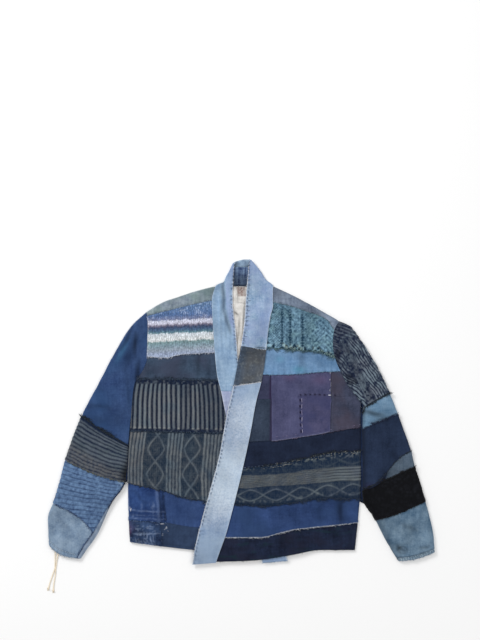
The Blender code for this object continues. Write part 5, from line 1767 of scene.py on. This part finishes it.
def edge_ticks(cloth, which, reach, size):
    """Short puckers that the sewing pulls across a band from its long edge, with painted light and shade on
    them.
    """
    d, along = cloth.inside[which], cloth.down
    phase = 2 * pi * along / 11.0 + 1.8 * noise(along, 0 * along, 26, cloth.seed + 5)
    tick = np.sin(phase) * smooth(1.3 - d / reach) * smooth((d - 1) / 3)
    share = cloth.fv[:, None] * np.ones(cloth.x.shape)
    tick = tick * (0.55 + 0.45 * noise(along, d, 18, cloth.seed + 6)) * window(share, -0.05, 1.05, 0.1)
    cloth.relief += 0.35 * size * tick
    cloth.shade *= 1 + 0.13 * size * tick


def band_look(cloth, white=2.4, strength=0.7):
    """Pale denim, puckered with painted light and shade, and worn white along both long edges."""
    crumple(cloth, 0.35)
    edge_ticks(cloth, "start", 15, 1.0)
    edge_ticks(cloth, "end", 9, 0.6)
    wear(cloth, "start", white, strength, 0.7)
    wear(cloth, "end", white * 0.5, strength * 0.6, 0.9)
    groove(cloth, "start", 7.0, 0.35, 1.2, 0.10)


BAND_FOLD = curve((  # the middle of the dark fold, as (y, x)
    (345, -41), (327, -46), (290, -45), (262, -45), (245, -42), (229, -37), (197, -27.5), (150, -20),
))


def right_band_look(cloth):
    """The outer half is greyer than the inner one, and a fold with painted shade in it parts them."""
    band_look(cloth, 2.0, 0.6)
    x, y = cloth.x, cloth.y
    outer = smooth((-46 - x) / 3) * smooth((y - 262) / 40)
    cloth.darken(0.14 * outer)
    line = hump(x - BAND_FOLD(y), 3.2) * smooth((y - 185) / 40) * smooth((345 - y) / 14)
    cloth.relief -= 1.0 * line
    cloth.darken(0.26 * line)
    inner = smooth((x - BAND_FOLD(y) - 3) / 5) * smooth((y - 120) / 60)
    cloth.tone = 0.9 * inner * (0.6 + 0.4 * rough(x * 1.5, y * 0.4, 20, 91))
    # Faint streaks down it, pale and dark in turn.
    for step in range(9):
        streak = area(cloth, -62 + 5.5 * step, 235 - 13 * (step % 3), 1.6, 60, 2)
        cloth.shade *= 1 + (0.10 if step % 2 else -0.09) * streak


def band_foot_look(cloth):
    """Bluer and darker where it comes out below the hem."""
    band_look(cloth)
    cloth.darken(0.10 * smooth((-358 - cloth.y) / 8))


def upper_band_look(cloth):
    band_look(cloth, 1.8, 0.75)
    edge_ticks(cloth, "start", 18, 0.9)
    wear(cloth, "foot", 1.6, 0.75, 0.6)


def lower_band_look(cloth):
    """Bluer under the dark patch and near the hem, nearly white between them."""
    band_look(cloth, 2.4, 0.8)
    x, y = cloth.x, cloth.y
    pale = window(y, -275, 30, 60) * (0.75 + 0.35 * rough(x, y * 0.6, 34, 77))
    cloth.rub(0.52 * held(pale))
    cloth.tone = held(window(y, -250, -100, 60) * 0.5)
    cloth.darken(0.12 * smooth((-275 - y) / 70))
    # Faint streaks along it, pale and dark in turn.
    for step in range(14):
        streak = area(cloth, -34 - 5.8 * step + 26 * (step % 3 - 1), -10 - 24 * step, 1.8, 38, -14)
        cloth.shade *= 1 + (0.07 if step % 2 else -0.07) * streak


def dark_patch_look(cloth):
    crumple(cloth, 0.5)
    x, y = cloth.x, cloth.y
    cloth.shade *= 0.84 + 0.22 * smooth((150 - y + 0.3 * (x - 20)) / 55)
    groove(cloth, "head", 9.0, 0.5, 3.0, 0.15)
    cloth.tone = 0.75 * smooth((x + 14 - 0.2 * (y - 110)) / 30) * (0.85 + 0.15 * noise(x, y, 14, 94))
    cloth.rub(0.25 * spots(x, y, 4.0, 95, 0.42, 4))
    cloth.shade *= 1 + 0.14 * noise(x, y, 4.4, 96)


def make_bands():
    sewn_on, at_neck = Edge(OVER, out=0.0), Edge(OVER, turn=neck_turn, out=0.0)
    add = adder("right_band", right_band, ["back_panel_cloth"], end=sewn_on)
    add("upper", "collar_end", "lilac_head", "band_right", "light_denim", right_band_look, end=at_neck,
        cell=BAND_CELL)
    add("lilac", "lilac_head", "lilac_foot", "lilac", "lilac_denim", band_look)
    add("lower", "lilac_foot", "hem", "band_right", "light_denim", band_foot_look)
    held_back, held_at_neck = Edge(OVER, out=-2.5), Edge(OVER, turn=neck_turn, out=-2.5)
    below = ["right_band_upper_cloth", "right_front_striped_knit_cloth", "right_front_cable_knit_cloth"]
    add = adder("left_band", left_band, below, wall=BAND_WALL, end=held_back, cell=BAND_CELL)
    add("upper", "collar_end", "dark_head", "band", "light_denim", upper_band_look, end=held_at_neck,
        foot=Edge(1.5, wave=1.0, out=-4.0))
    add("dark_patch", "dark_head", "dark_foot", "canvas", "dark_canvas", dark_patch_look,
        head=Edge(TUCKED, out=6.0), foot=Edge(TUCKED))
    add("lower", "dark_foot", "hem", "band_low", "light_denim", lower_band_look, head=Edge(1.5, wave=0.5))


def upper_arm_look(cloth):
    """Folds at the armhole with painted shade in them, teal beside them and pale cloth further down."""
    crumple(cloth, 0.6)
    shadow(cloth, "foot", 6, 0.4)
    cloth.tone = 0.75 * area(cloth, -298, 150, 40, 10, 61)
    fade_and_shade(cloth, (-281, 152, 42, 11, 64, -0.22), (-265, 165, 28, 6, 88, -0.30),
          (-281, 136, 18, 7, 80, -0.26), (-258, 108, 30, 5, 80, -0.36), (-258, 86, 8, 7, 0, -0.36),
          (-280, 190, 26, 14, 60, -0.10), (-250, 200, 10, 30, 0, -0.14), (-298, 176, 12, 28, 30, 0.16),
          (-312, 62, 24, 40, 20, 0.14), (-352, 84, 12, 30, 30, 0.08), (-300, -14, 20, 24, 0, -0.18),
          (-363, -20, 22, 10, -12, -0.20), (-282, 40, 6, 50, 4, -0.22))


def elbow_look(cloth):
    """One deep fold in from the body, painted shade behind it and pale below, and painted shade along the
    edge by the body.
    """
    crumple(cloth, 0.55)
    shadow(cloth, "head", 6, 0.4)
    fade_and_shade(cloth, (326, -4, 27, 7.5, -11, -0.40), (350, -14, 18, 6, 4, -0.16), (304, 14, 5, 22, 0, -0.6),
          (309, -32, 8, 6, 0, 0.22), (352, 26, 26, 12, 0, 0.10), (330, -20, 24, 6, -10, 0.12))
    cloth.darken(0.3 * smooth(1.3 - cloth.inside["end"] / 9))


def sliver_look(cloth):
    """Pale at the outside of the arm. Further in it is the navy of the cloth above."""
    plain(cloth)
    inward = smooth((370 + 0.3 * (cloth.y + 150) - cloth.x) / 14)
    cloth.rub(2.6 * inward)
    cloth.darken(0.3 * area(cloth, 372, -152, 22, 7, 28))


def navy_sleeve_look(cloth):
    """A little purple towards the body, and painted shade along the edge beside it."""
    crumple(cloth, 0.5)
    pucker(cloth, "head")
    cloth.tone = 0.6 * area(cloth, 318, -186, 22, 12)
    cloth.darken(0.42 * smooth(1.3 - cloth.inside["end"] / 13))
    fade_and_shade(cloth, (359, -155, 9, 2.6, -60, -0.4), (380, -70, 20, 26, 0, 0.06))


def strip_edge_look(cloth):
    """Brown-grey, with a dark line beside the cuff and dark blotches at the elbow."""
    crumple(cloth, 0.3)
    x, y = cloth.x, cloth.y
    dark = smooth((-290 - y) / 12) * smooth(1.35 - cloth.inside["start"] / 2.6)
    dark = np.maximum(dark, smooth((y + 246) / 12))
    cloth.rub(2.0 * dark * (0.75 + 0.3 * noise(x, y, 7, 97)))
    cloth.shade *= 1 + 0.2 * noise(x, y, 9, 98)


def cuff_look(cloth):
    crumple(cloth, 0.7)
    along, aside = cloth.x * 0.5 + cloth.y, cloth.x - cloth.y * 0.4
    cloth.shade *= 1 + 0.10 * rough(aside * 1.8, along * 0.35, 22, cloth.seed + 61)
    groove(cloth, "foot", 11.0, 0.7, 1.6, 0.3)
    pucker(cloth, "foot", 0.4, 9, 8)


def frayed_cuff_look(cloth):
    cuff_look(cloth)
    d = cloth.inside["foot"]
    x, y = cloth.x, cloth.y
    tick = bar(x + 0.3 * y + 1.5 * noise(x, y, 12, 99), 6.4, 0.1)
    cloth.rub(0.9 * smooth(1.5 - d / 10) * (0.25 + 0.75 * tick) * (0.7 + 0.5 * noise(x, y, 9, 9)))
    cloth.darken(0.24 * smooth((12 - d) / 3) * (1 - tick))
    cloth.darken(0.50 * hump(d - 15, 2.6) * (0.7 + 0.6 * noise(x, y, 11, 10)))
    swirl = hump(np.hypot((x - 402) / 1.2, y + 345) - 9.0, 2.6)
    swirl *= smooth(0.55 + 1.6 * noise(x, y, 10, 11))
    cloth.darken(0.36 * swirl)
    cloth.relief -= 0.6 * swirl
    # Painted shade along the edge beside the body.
    cloth.darken(0.22 * smooth(1.3 - cloth.inside["end"] / 9))
    fade_and_shade(cloth, (392, -342, 12, 9, -50, -0.34), (404, -330, 14, 4, 10, -0.2), (352, -284, 8, 26, 28, -0.26),
          (366, -316, 5, 22, 26, -0.2), (398, -282, 5, 26, -12, 0.14), (436, -262, 10, 20, -20, 0.12),
          (470, -300, 6, 30, 12, -0.12), (430, -330, 20, 8, 14, 0.08))


def make_sleeves():
    tucked = Edge(TUCKED)
    add = adder("right_sleeve", right_sleeve, ["right_sleeve_under_cloth"], start=turned_edge(),
                end=Edge(turn=RIGHT_TURN))
    add("blue_denim", "armhole", "blue_foot", "royal", "blue_denim", upper_arm_look, foot=tucked)
    add("ribbed_knit", "blue_foot", "ribbed_foot", "ribbed_sleeve", "ribbed_knit", ribbed_sleeve,
        head=Edge(0.4, wave=1.4), foot=Edge(FRINGED, wave=1.0), cell=KNIT_CELL)
    beside_strip = dict(head=tucked, end=tucked, u_ends=(0.0, sleeve_strip))
    add("blue_knit", "ribbed_foot", "knit_foot", "blue_knit", "blue_knit", ridged_sleeve,
        foot=Edge(OVER, wave=1.2), cell=KNIT_CELL, **beside_strip)
    add("cuff_denim", "knit_foot", "cuff", "cuff_right", "cuff_denim", cuff_look, **beside_strip)

    add_left = adder("left_sleeve", left_sleeve, ["left_sleeve_under_cloth"], start=turned_edge(),
                     end=Edge(turn=LEFT_TURN))
    add_left("cable_knit", "armhole", "cable_foot", "sleeve_cable", "cable_knit", cable_sleeve,
             foot=Edge(FRINGED, wave=1.2), cell=KNIT_CELL)
    add_left("sky_denim", "cable_foot", "sky_foot", "sleeve_sky", "sky_denim", elbow_look,
             head=tucked, foot=tucked)
    add_left("navy_denim", "sky_foot", "navy_foot", "sleeve_navy", "navy_denim", navy_sleeve_look,
             head=Edge(OVER, wave=0.8), foot=tucked)
    add_left("grey_sliver", "navy_foot", "grey_foot", "sliver", "grey_denim", sliver_look,
             head=Edge(1.0, wave=0.5), foot=tucked)
    add_left("black_jersey", "grey_foot", "black_foot", "black", "black_jersey", boucle,
             head=Edge(OVER, wave=1.2), foot=Edge(FRINGED, wave=1.4), cell=KNIT_CELL)
    add_left("cuff_denim", "black_foot", "cuff", "cuff_left", "cuff_denim", frayed_cuff_look, head=tucked)

    # Last, since a cloth's own noise follows the order in which they are made.
    add("edge_strip", "ribbed_foot", "cuff", "strip", "faded_denim", strip_edge_look,
        u_ends=(sleeve_strip, 1.0), start=Edge(1.0))


# ---------------------------------------------------------------- loose ends and stitches
def edge_points(cloth, which, share, inset):
    """Places at shares of an edge, inset mm in from it: points, normals and the outward run."""
    size = cloth.length if which in ("head", "foot") else cloth.width
    into = np.clip(inset / size, 0, 0.5)
    far = np.clip((inset + 5.0) / size, 0, 0.5)
    if which in ("foot", "end"):
        into, far = 1 - into, 1 - far
    if which in ("head", "foot"):
        here, normal = cloth.at(share, into)
        behind, _ = cloth.at(share, far)
    else:
        here, normal = cloth.at(into, share)
        behind, _ = cloth.at(far, share)
    outward = here - behind
    outward[:, 2] = 0
    outward /= np.maximum(np.linalg.norm(outward, axis=1, keepdims=True), 1e-9)
    return here, normal, outward


THREAD_RINGS = 4
STITCH_SHAPE = np.array([0.55, 1.0, 1.0, 0.55])  # its thickness along its length
FRAY_SIDES, STITCH_SIDES = 3, 5  # round a thread


def add_threads(node, kind, paint, paths, radii, sides, tone):
    """One piece of many threads on a cloth."""
    piece = tubes(f"{node}_{kind}_{len(EXTRAS[node])}", paths, radii, sides, tone, PAINTS[paint])
    EXTRAS[node].append(piece)


def fray(node, which, paint, per_mm, length, low=0.0, high=1.0, spread=0.45, lift=0.6, thick=0.42,
         inset=2.0, drop=1.2, tones=(0.0, 1.0), clump=(7.0, 0.35)):
    """Loose threads along an edge, from the cloth out over its neighbour. They gather in tufts about
    as wide as the clump's first number, and its second says how much longer those are."""
    cloth = CLOTHS[node]
    edge_length = cloth.width if which in ("head", "foot") else cloth.length
    count = int(per_mm * edge_length * (high - low))
    rng = np.random.default_rng(cloth.seed * 10 + ("head", "foot", "start", "end").index(which))
    share = np.sort(rng.uniform(low, high, count))
    here, _, outward = edge_points(cloth, which, share, rng.uniform(0, inset, count))
    aside = np.stack([-outward[:, 1], outward[:, 0], 0 * outward[:, 0]], -1)
    tuft = noise(share * edge_length, 0 * share, clump[0], cloth.seed + 3)
    reach = length * rng.uniform(0.35, 1.1, count) * np.maximum(0.8 + clump[1] * tuft, 0.1)
    lean = 0.35 * noise(share * edge_length, 0 * share, 11.0, cloth.seed + 4)
    bend = (rng.normal(0, spread, count) + lean)[:, None, None]
    curl = rng.normal(0, spread, count)[:, None, None]
    along = np.linspace(0, 1, THREAD_RINGS)[None, :, None]
    paths = here[:, None] + outward[:, None] * reach[:, None, None] * along
    paths = paths + aside[:, None] * reach[:, None, None] * (bend * along + curl * along**2 * 0.8)
    rise = lift * np.sin(pi * along[..., 0] * 0.9) - drop * along[..., 0] ** 2
    paths[..., 2] += rise * rng.uniform(0.6, 1.2, (count, 1)) + thick * 0.6
    paths[..., 2] = np.maximum(paths[..., 2], thick)
    radii = np.linspace(1.0, 0.55, THREAD_RINGS)[None] * thick * rng.uniform(0.7, 1.15, (count, 1))
    add_threads(node, f"fray_{which}", paint, paths, radii, FRAY_SIDES, rng.uniform(*tones, count))


def stitch_row(node, which, paint, inset, pitch, size, low=0.0, high=1.0, thick=0.75, slant=0.0,
               skip=0.0, wander=0.5):
    """Hand stitches in a row beside an edge. slant turns each across the row, skip is the share that
    has come out."""
    cloth = CLOTHS[node]
    edge_length = cloth.width if which in ("head", "foot") else cloth.length
    count = max(1, int(edge_length * (high - low) / pitch))
    rng = np.random.default_rng(cloth.seed * 100 + len(EXTRAS[node]))
    centre = low + (np.arange(count) + 0.5 + rng.normal(0, 0.08, count)) / count * (high - low)
    keep = rng.uniform(0, 1, count) >= skip
    centre, count = centre[keep], int(keep.sum())
    half = size / 2 / edge_length * rng.uniform(0.75, 1.15, count)
    step = np.linspace(-1, 1, THREAD_RINGS)
    share = (centre[:, None] + half[:, None] * step * cos(slant)).ravel()
    place = (inset + wander * rng.normal(0, 0.5, count)[:, None] + size / 2 * sin(slant) * step).ravel()
    here, normal, _ = edge_points(cloth, which, held(share), place)
    arch = thick * (0.9 - 0.7 * np.tile(step**4, count))
    paths = (here + normal * arch[:, None]).reshape(count, THREAD_RINGS, 3)
    radii = STITCH_SHAPE * thick * np.ones((count, 1))
    add_threads(node, f"stitches_{which}", paint, paths, radii, STITCH_SIDES, rng.uniform(0.2, 1.0, count))


def stitches_at(node, paint, thick, places, tones=(0.2, 1.0)):
    """Single stitches laid on a cloth's face, each from (x0, y0) to (x1, y1)."""
    cloth = CLOTHS[node]
    ends = np.array(places, float)
    along = np.linspace(0, 1, THREAD_RINGS)
    plan = ends[:, None, :2] * (1 - along[:, None]) + ends[:, None, 2:] * along[:, None]
    grid = cloth.face.reshape(-1, 3)
    near = ((plan.reshape(-1, 1, 2) - grid[None, :, :2]) ** 2).sum(-1).argmin(1)
    top = grid[near, 2].reshape(plan.shape[:2]) + thick * (0.9 - 0.7 * (2 * along - 1) ** 4)
    paths = np.concatenate([plan, top[..., None]], -1)
    radii = STITCH_SHAPE * thick * np.ones((len(ends), 1))
    rng = np.random.default_rng(cloth.seed * 100 + len(EXTRAS[node]))
    add_threads(node, "stitches_on", paint, paths, radii, STITCH_SIDES, rng.uniform(*tones, len(ends)))


def make_frays():
    # The right front, from the top down.
    fray("right_front_striped_knit", "foot", "pale_ends", 1.1, 6.0, spread=0.3)
    fray("right_front_striped_knit", "start", "pale_ends", 0.4, 2.4, spread=0.5, tones=(0, 0.7))
    fray("right_front_striped_knit", "head", "marl_ends", 0.7, 4.0, spread=0.5)
    fray("right_front_ribbed_knit", "head", "deep_ends", 1.5, 8.0, clump=(9.0, 0.6), thick=0.5,
         tones=(0.1, 0.9))
    fray("right_front_ribbed_knit", "foot", "deep_ends", 1.2, 7.0, thick=0.5, tones=(0.1, 0.9))
    fray("right_front_cable_knit", "foot", "cable_ends", 0.5, 5.0, spread=0.6)
    fray("right_front_cable_knit", "foot", "deep_ends", 1.2, 6.0, spread=0.6, clump=(12.0, 0.8),
         thick=0.5, tones=(0, 0.6))
    fray("right_front_blue_flap", "foot", "blue_ends", 0.9, 5.0)
    fray("right_front_blue_flap", "end", "navy_ends", 0.5, 2.6)
    # The left front.
    fray("left_front_teal_knit", "foot", "teal_ends", 1.8, 8.0, spread=0.6, lift=1.2,
         clump=(11.0, 0.7), tones=(0, 0.7))
    for per_mm, length, low, high in ((1.2, 6.0, 0.36, 0.54), (1.0, 6.5, 0.76, 1.0)):
        fray("left_front_teal_knit", "foot", "lime_ends", per_mm, length, low, high, spread=0.8,
             lift=1.5, inset=8.0)
    fray("left_front_teal_knit", "head", "teal_ends", 0.6, 4.0, spread=0.6)
    fray("left_front_sky_denim", "foot", "sky_ends", 0.9, 4.0)
    fray("left_front_purple_denim", "foot", "purple_ends", 0.9, 3.2, spread=0.7, clump=(16.0, 0.9))
    fray("left_front_plum_lower", "foot", "plum_ends", 0.9, 3.2, spread=0.7, clump=(16.0, 0.9))
    fray("left_front_cable_knit", "head", "dark_ends", 1.4, 6.0, low=0.16, spread=0.6, lift=1.2,
         tones=(0, 0.7), thick=0.5, clump=(12.0, 0.6))
    fray("left_front_cable_knit", "head", "dark_ends", 1.2, 2.8, high=0.16, tones=(0, 0.7))
    fray("left_front_cable_knit", "head", "bone_ends", 0.45, 4.0, spread=0.8, lift=1.4, low=0.15, inset=9.0)
    fray("left_front_cable_knit", "foot", "deep_ends", 1.6, 6.5, spread=0.8, lift=1.0, thick=0.5,
         clump=(14.0, 0.9), tones=(0, 0.5))
    fray("left_front_blue_denim", "foot", "white_ends", 1.0, 3.8, spread=0.9, thick=0.40)
    # The bands.
    fray("left_band_upper", "foot", "white_ends", 0.9, 4.0, low=0.45)
    fray("left_band_lower", "head", "white_ends", 1.2, 3.5, spread=0.7)
    fray("left_band_lower", "start", "white_ends", 0.55, 3.0, spread=0.8, thick=0.32)
    fray("left_band_upper", "start", "white_ends", 0.45, 2.6, spread=0.8, thick=0.32)
    fray("right_band_upper", "start", "white_ends", 0.4, 2.6, spread=0.8, thick=0.32)
    fray("right_band_lower", "foot", "sky_ends", 0.8, 3.0, spread=0.5, drop=0.6)
    # The sleeves.
    fray("right_sleeve_ribbed_knit", "head", "dark_ends", 2.0, 6.0, spread=0.6, lift=1.2, thick=0.5,
         clump=(24.0, 0.8), tones=(0, 0.7))
    fray("right_sleeve_ribbed_knit", "head", "dark_ends", 3.0, 5.0, high=0.04, spread=0.8, thick=0.5)
    fray("right_sleeve_ribbed_knit", "foot", "moss_ends", 1.1, 4.5, spread=0.5, low=0.03)
    fray("right_sleeve_blue_knit", "foot", "blue_ends", 1.3, 5.5, spread=0.6, low=0.06)
    fray("right_sleeve_blue_knit", "end", "dark_ends", 1.2, 5.0, high=0.30, spread=0.6)
    fray("right_sleeve_edge_strip", "start", "blue_ends", 0.9, 4.0)
    fray("left_sleeve_cable_knit", "foot", "dark_ends", 1.7, 8.0, spread=0.6, thick=0.5, clump=(20.0, 0.6))
    fray("left_sleeve_cable_knit", "foot", "dark_ends", 3.0, 6.0, high=0.05, spread=0.9, thick=0.5)
    fray("left_sleeve_navy_denim", "head", "navy_ends", 1.5, 6.5, spread=0.7, lift=1.0)
    fray("left_sleeve_grey_sliver", "head", "dark_ends", 1.2, 5.0, spread=0.6)
    fray("left_sleeve_black_jersey", "head", "black_ends", 1.8, 5.5, spread=0.9, lift=1.4, thick=0.5)
    fray("left_sleeve_black_jersey", "foot", "black_ends", 1.6, 3.2, spread=0.7, lift=0.8, thick=0.5)
    fray("left_sleeve_cuff_denim", "foot", "pale_blue_ends", 1.2, 3.0, spread=0.6, tones=(0, 0.7))
    fray("right_sleeve_cuff_denim", "foot", "pale_blue_ends", 0.9, 3.5, spread=0.6)
    fray("left_front_hem_navy", "foot", "dark_ends", 0.5, 3.0)
    fray("right_front_hem_faded", "foot", "blue_ends", 0.6, 3.0)


def make_stitches():
    # The bands' leading edges, where white and dark thread take turns.
    for node in ("left_band_upper", "left_band_lower", "right_band_upper"):
        stitch_row(node, "start", "slate_thread", 4.6, 10.0, 5.5, thick=1.0, skip=0.1)
        stitch_row(node, "start", "white_thread", 1.0, 5.2, 3.8, thick=0.5, skip=0.3)
    stitch_row("left_band_upper", "start", "slate_thread", 8.0, 14.0, 9.0, low=0.2, thick=0.6,
               slant=pi / 2, skip=0.2, wander=2.0)
    stitch_row("left_band_dark_patch", "start", "slate_thread", 3.2, 7.0, 4.0, thick=0.5, skip=0.3)
    stitch_row("left_band_lower", "head", "white_thread", 1.2, 4.0, 2.4, thick=0.7)
    # The stitched patch: dark dashes along its head and side, white ones beside them.
    patch, upper = "left_front_stitched_patch", "left_front_plum_upper"
    stitches_at(patch, "ink_thread", 1.3, [(x - 2, y, x + 2, y) for x, y in HEAD_SPOTS])
    stitches_at(patch, "ink_thread", 1.3, [(x, y + 3, x, y - 3) for x, y in SIDE_SPOTS])
    stitches_at(patch, "lilac_thread", 0.6, (
        (150.4, 35, 150.8, 23), (150.8, 20, 150.2, 8), (150.2, 5, 151.2, -9), (151.2, -12, 150.6, -24),
        (150.6, -27, 151.8, -40), (151.8, -43, 152.4, -52),
    ), (0, 0.6))
    stitches_at(patch, "white_thread", 1.1, ((216.4, 42, 223.4, 42),))
    stitches_at(upper, "ink_thread", 1.0, ((230.6, 42.2, 235.4, 42.2),))
    stitches_at(upper, "white_thread", 0.35, ((223, 76, 222.8, 62), (222.8, 60, 222.6, 49)), (0, 0.3))
    stitch_row("left_front_purple_denim", "end", "white_thread", 2.0, 15.0, 6.0, high=0.42, thick=0.4,
               skip=0.3)
    # Bar tacks and the frayed block of the right hem.
    stitches_at("right_front_hem_slate", "white_thread", 0.8, ((-203, -279.6, -192.5, -279),))
    stitch_row("right_front_blue_flap", "end", "navy_thread", 7.0, 6.0, 4.5, thick=0.5)
    stitches_at("right_front_blue_flap", "white_thread", 0.55, (
        (-279, -236, -276.6, -249), (-275, -240, -276.4, -246),
    ))
    stitches_at("right_front_hem_slate", "white_thread", 0.5, (
        (-197, -303, -196, -304.2), (-188, -286, -187.2, -288), (-184, -297, -182.8, -297.8),
        (-192, -293, -191, -294),
    ))
    # The turned-up cuffs and hems.
    stitch_row("left_sleeve_cuff_denim", "foot", "pale_thread", 11.0, 6.0, 4.0, thick=0.5, skip=0.1)
    stitch_row("right_sleeve_cuff_denim", "foot", "pale_thread", 11.0, 6.0, 4.0, thick=0.5, skip=0.2)
    stitch_row("left_front_purple_denim", "foot", "purple_thread", 7.0, 8.0, 5.0, thick=0.4, skip=0.5)
    stitch_row("left_front_plum_lower", "foot", "purple_thread", 6.0, 7.0, 4.5, thick=0.4, skip=0.5)
    stitch_row("left_front_navy_denim", "foot", "slate_thread", 1.8, 8.0, 5.0, high=0.5, thick=0.4,
               skip=0.3)


# ---------------------------------------------------------------- the drawstring's ends
CORD_DIAMETER = 2.4
CORD_STEP = 4.0  # mm between the points of its curve
KNOT_TURNS, KNOT_THICK = 1.55, 1.05  # turns round the cord, and the turned cord's radius
TIP_STRANDS, TIP_THICK = 16, 0.28
CORD_ROUTES = {
    # node: (x, y, z) down the cord, from where it leaves the cuff
    "drawstring_a": (
        (-464, -343, 3.6), (-465, -351, 3.5), (-466, -361, 1.7), (-466, -374, 1.25), (-466, -388, 1.25),
        (-470, -402, 1.25), (-475, -416, 1.25), (-479, -428, 1.25), (-482, -439, 1.25),
    ),
    "drawstring_b": (
        (-457, -346, 3.6), (-458, -353, 3.5), (-460, -363, 1.7), (-462, -376, 1.25), (-464, -391, 1.25),
        (-465, -405, 1.25), (-467, -418, 1.25), (-469, -431, 1.25), (-470, -444, 1.25),
    ),
}


def paint_drawstring():
    """Cream cotton, with the lay of its strands as slanted bands."""
    paint = Paint("drawstring", sheen=0.1)
    strands = paint.tree.nodes.new("ShaderNodeTexWave")
    strands.inputs["Scale"].default_value = 260.0
    strands.inputs["Distortion"].default_value = 1.5
    paint.join(strands.inputs["Vector"], paint.turned(38))
    fibres = paint.noise(1.5, 3.0)
    share = paint.math("MULTIPLY_ADD", strands.outputs["Fac"], 0.5, paint.math("MULTIPLY", fibres, 0.5))
    colour = paint.mix(share, srgb(222, 204, 174), srgb(252, 242, 224))
    paint.finish(colour, share, 0.0006)


def make_cord(node, route):
    """One free end: a smooth run down its route, a small knot and the cut strands past it."""
    stations = np.cumsum([0] + [np.hypot(b[0] - a[0], b[1] - a[1]) for a, b in zip(route, route[1:])])
    axes = [curve(zip(stations, column)) for column in zip(*route)]
    at = np.linspace(0, stations[-1], int(stations[-1] / CORD_STEP) + 1)
    line = np.stack([axis(at) for axis in axes], -1)
    data = bpy.data.curves.new(f"{node}_cord", "CURVE")
    data.dimensions, data.bevel_depth, data.bevel_resolution = "3D", CORD_DIAMETER / 2 * MM, 3
    data.use_fill_caps = True
    spline = data.splines.new("POLY")
    spline.points.add(len(line) - 1)
    spline.points.foreach_set("co", np.pad(line * MM, ((0, 0), (0, 1)), constant_values=1.0).ravel())
    spline.use_smooth = True
    data.materials.append(PAINTS["drawstring"])
    cord = bpy.data.objects.new(f"{node}_cord", data)
    bpy.context.scene.collection.objects.link(cord)
    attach(cord, "root")
    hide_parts(node)
    run = line[-1] - line[-2]
    run /= np.linalg.norm(run)
    side = np.array([-run[1], run[0], 0.0])
    turn = np.linspace(0, 2 * pi * KNOT_TURNS, 34)
    loop = (line[-1] + run * 2.2 + run * (1.9 * np.sin(turn) * np.sin(turn / 2 + 0.4))[:, None]
            + side * (1.7 * np.cos(turn))[:, None])
    loop[:, 2] = 2.0 + 1.1 * np.sin(1.5 * turn + 0.6)
    knot = tubes(f"{node}_knot_turns", loop[None], np.full((1, len(turn)), KNOT_THICK), 8,
                 np.full(1, 0.6), PAINTS["drawstring"])
    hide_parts(f"{node}_knot")
    rng = np.random.default_rng(len(node) + ord(node[-1]))
    count = TIP_STRANDS
    spread = rng.normal(0, 0.35, (count, 1, 1))
    along = np.linspace(0, 1, THREAD_RINGS)[None, :, None]
    length = rng.uniform(2.5, 5.0, (count, 1, 1))
    aside = side * (spread * length * along + rng.normal(0, 0.5, (count, 1, 1)))
    strands = line[-1] + run * 3.5 + run * length * along + aside
    strands[..., 2] = 0.5 + 1.1 * rng.uniform(0, 1, (count, 1)) * (1 - 0.6 * along[..., 0])
    tips = tubes(f"{node}_tips", strands, np.full((count, THREAD_RINGS), TIP_THICK), 4,
                 rng.uniform(0, 1, count), PAINTS["drawstring"])


make_hidden_cloths()
make_neck()
make_right_front()
make_left_front()
make_bands()
make_sleeves()
make_frays()
make_stitches()
paint_drawstring()
for cord_node, cord_route in CORD_ROUTES.items():
    make_cord(cord_node, cord_route)
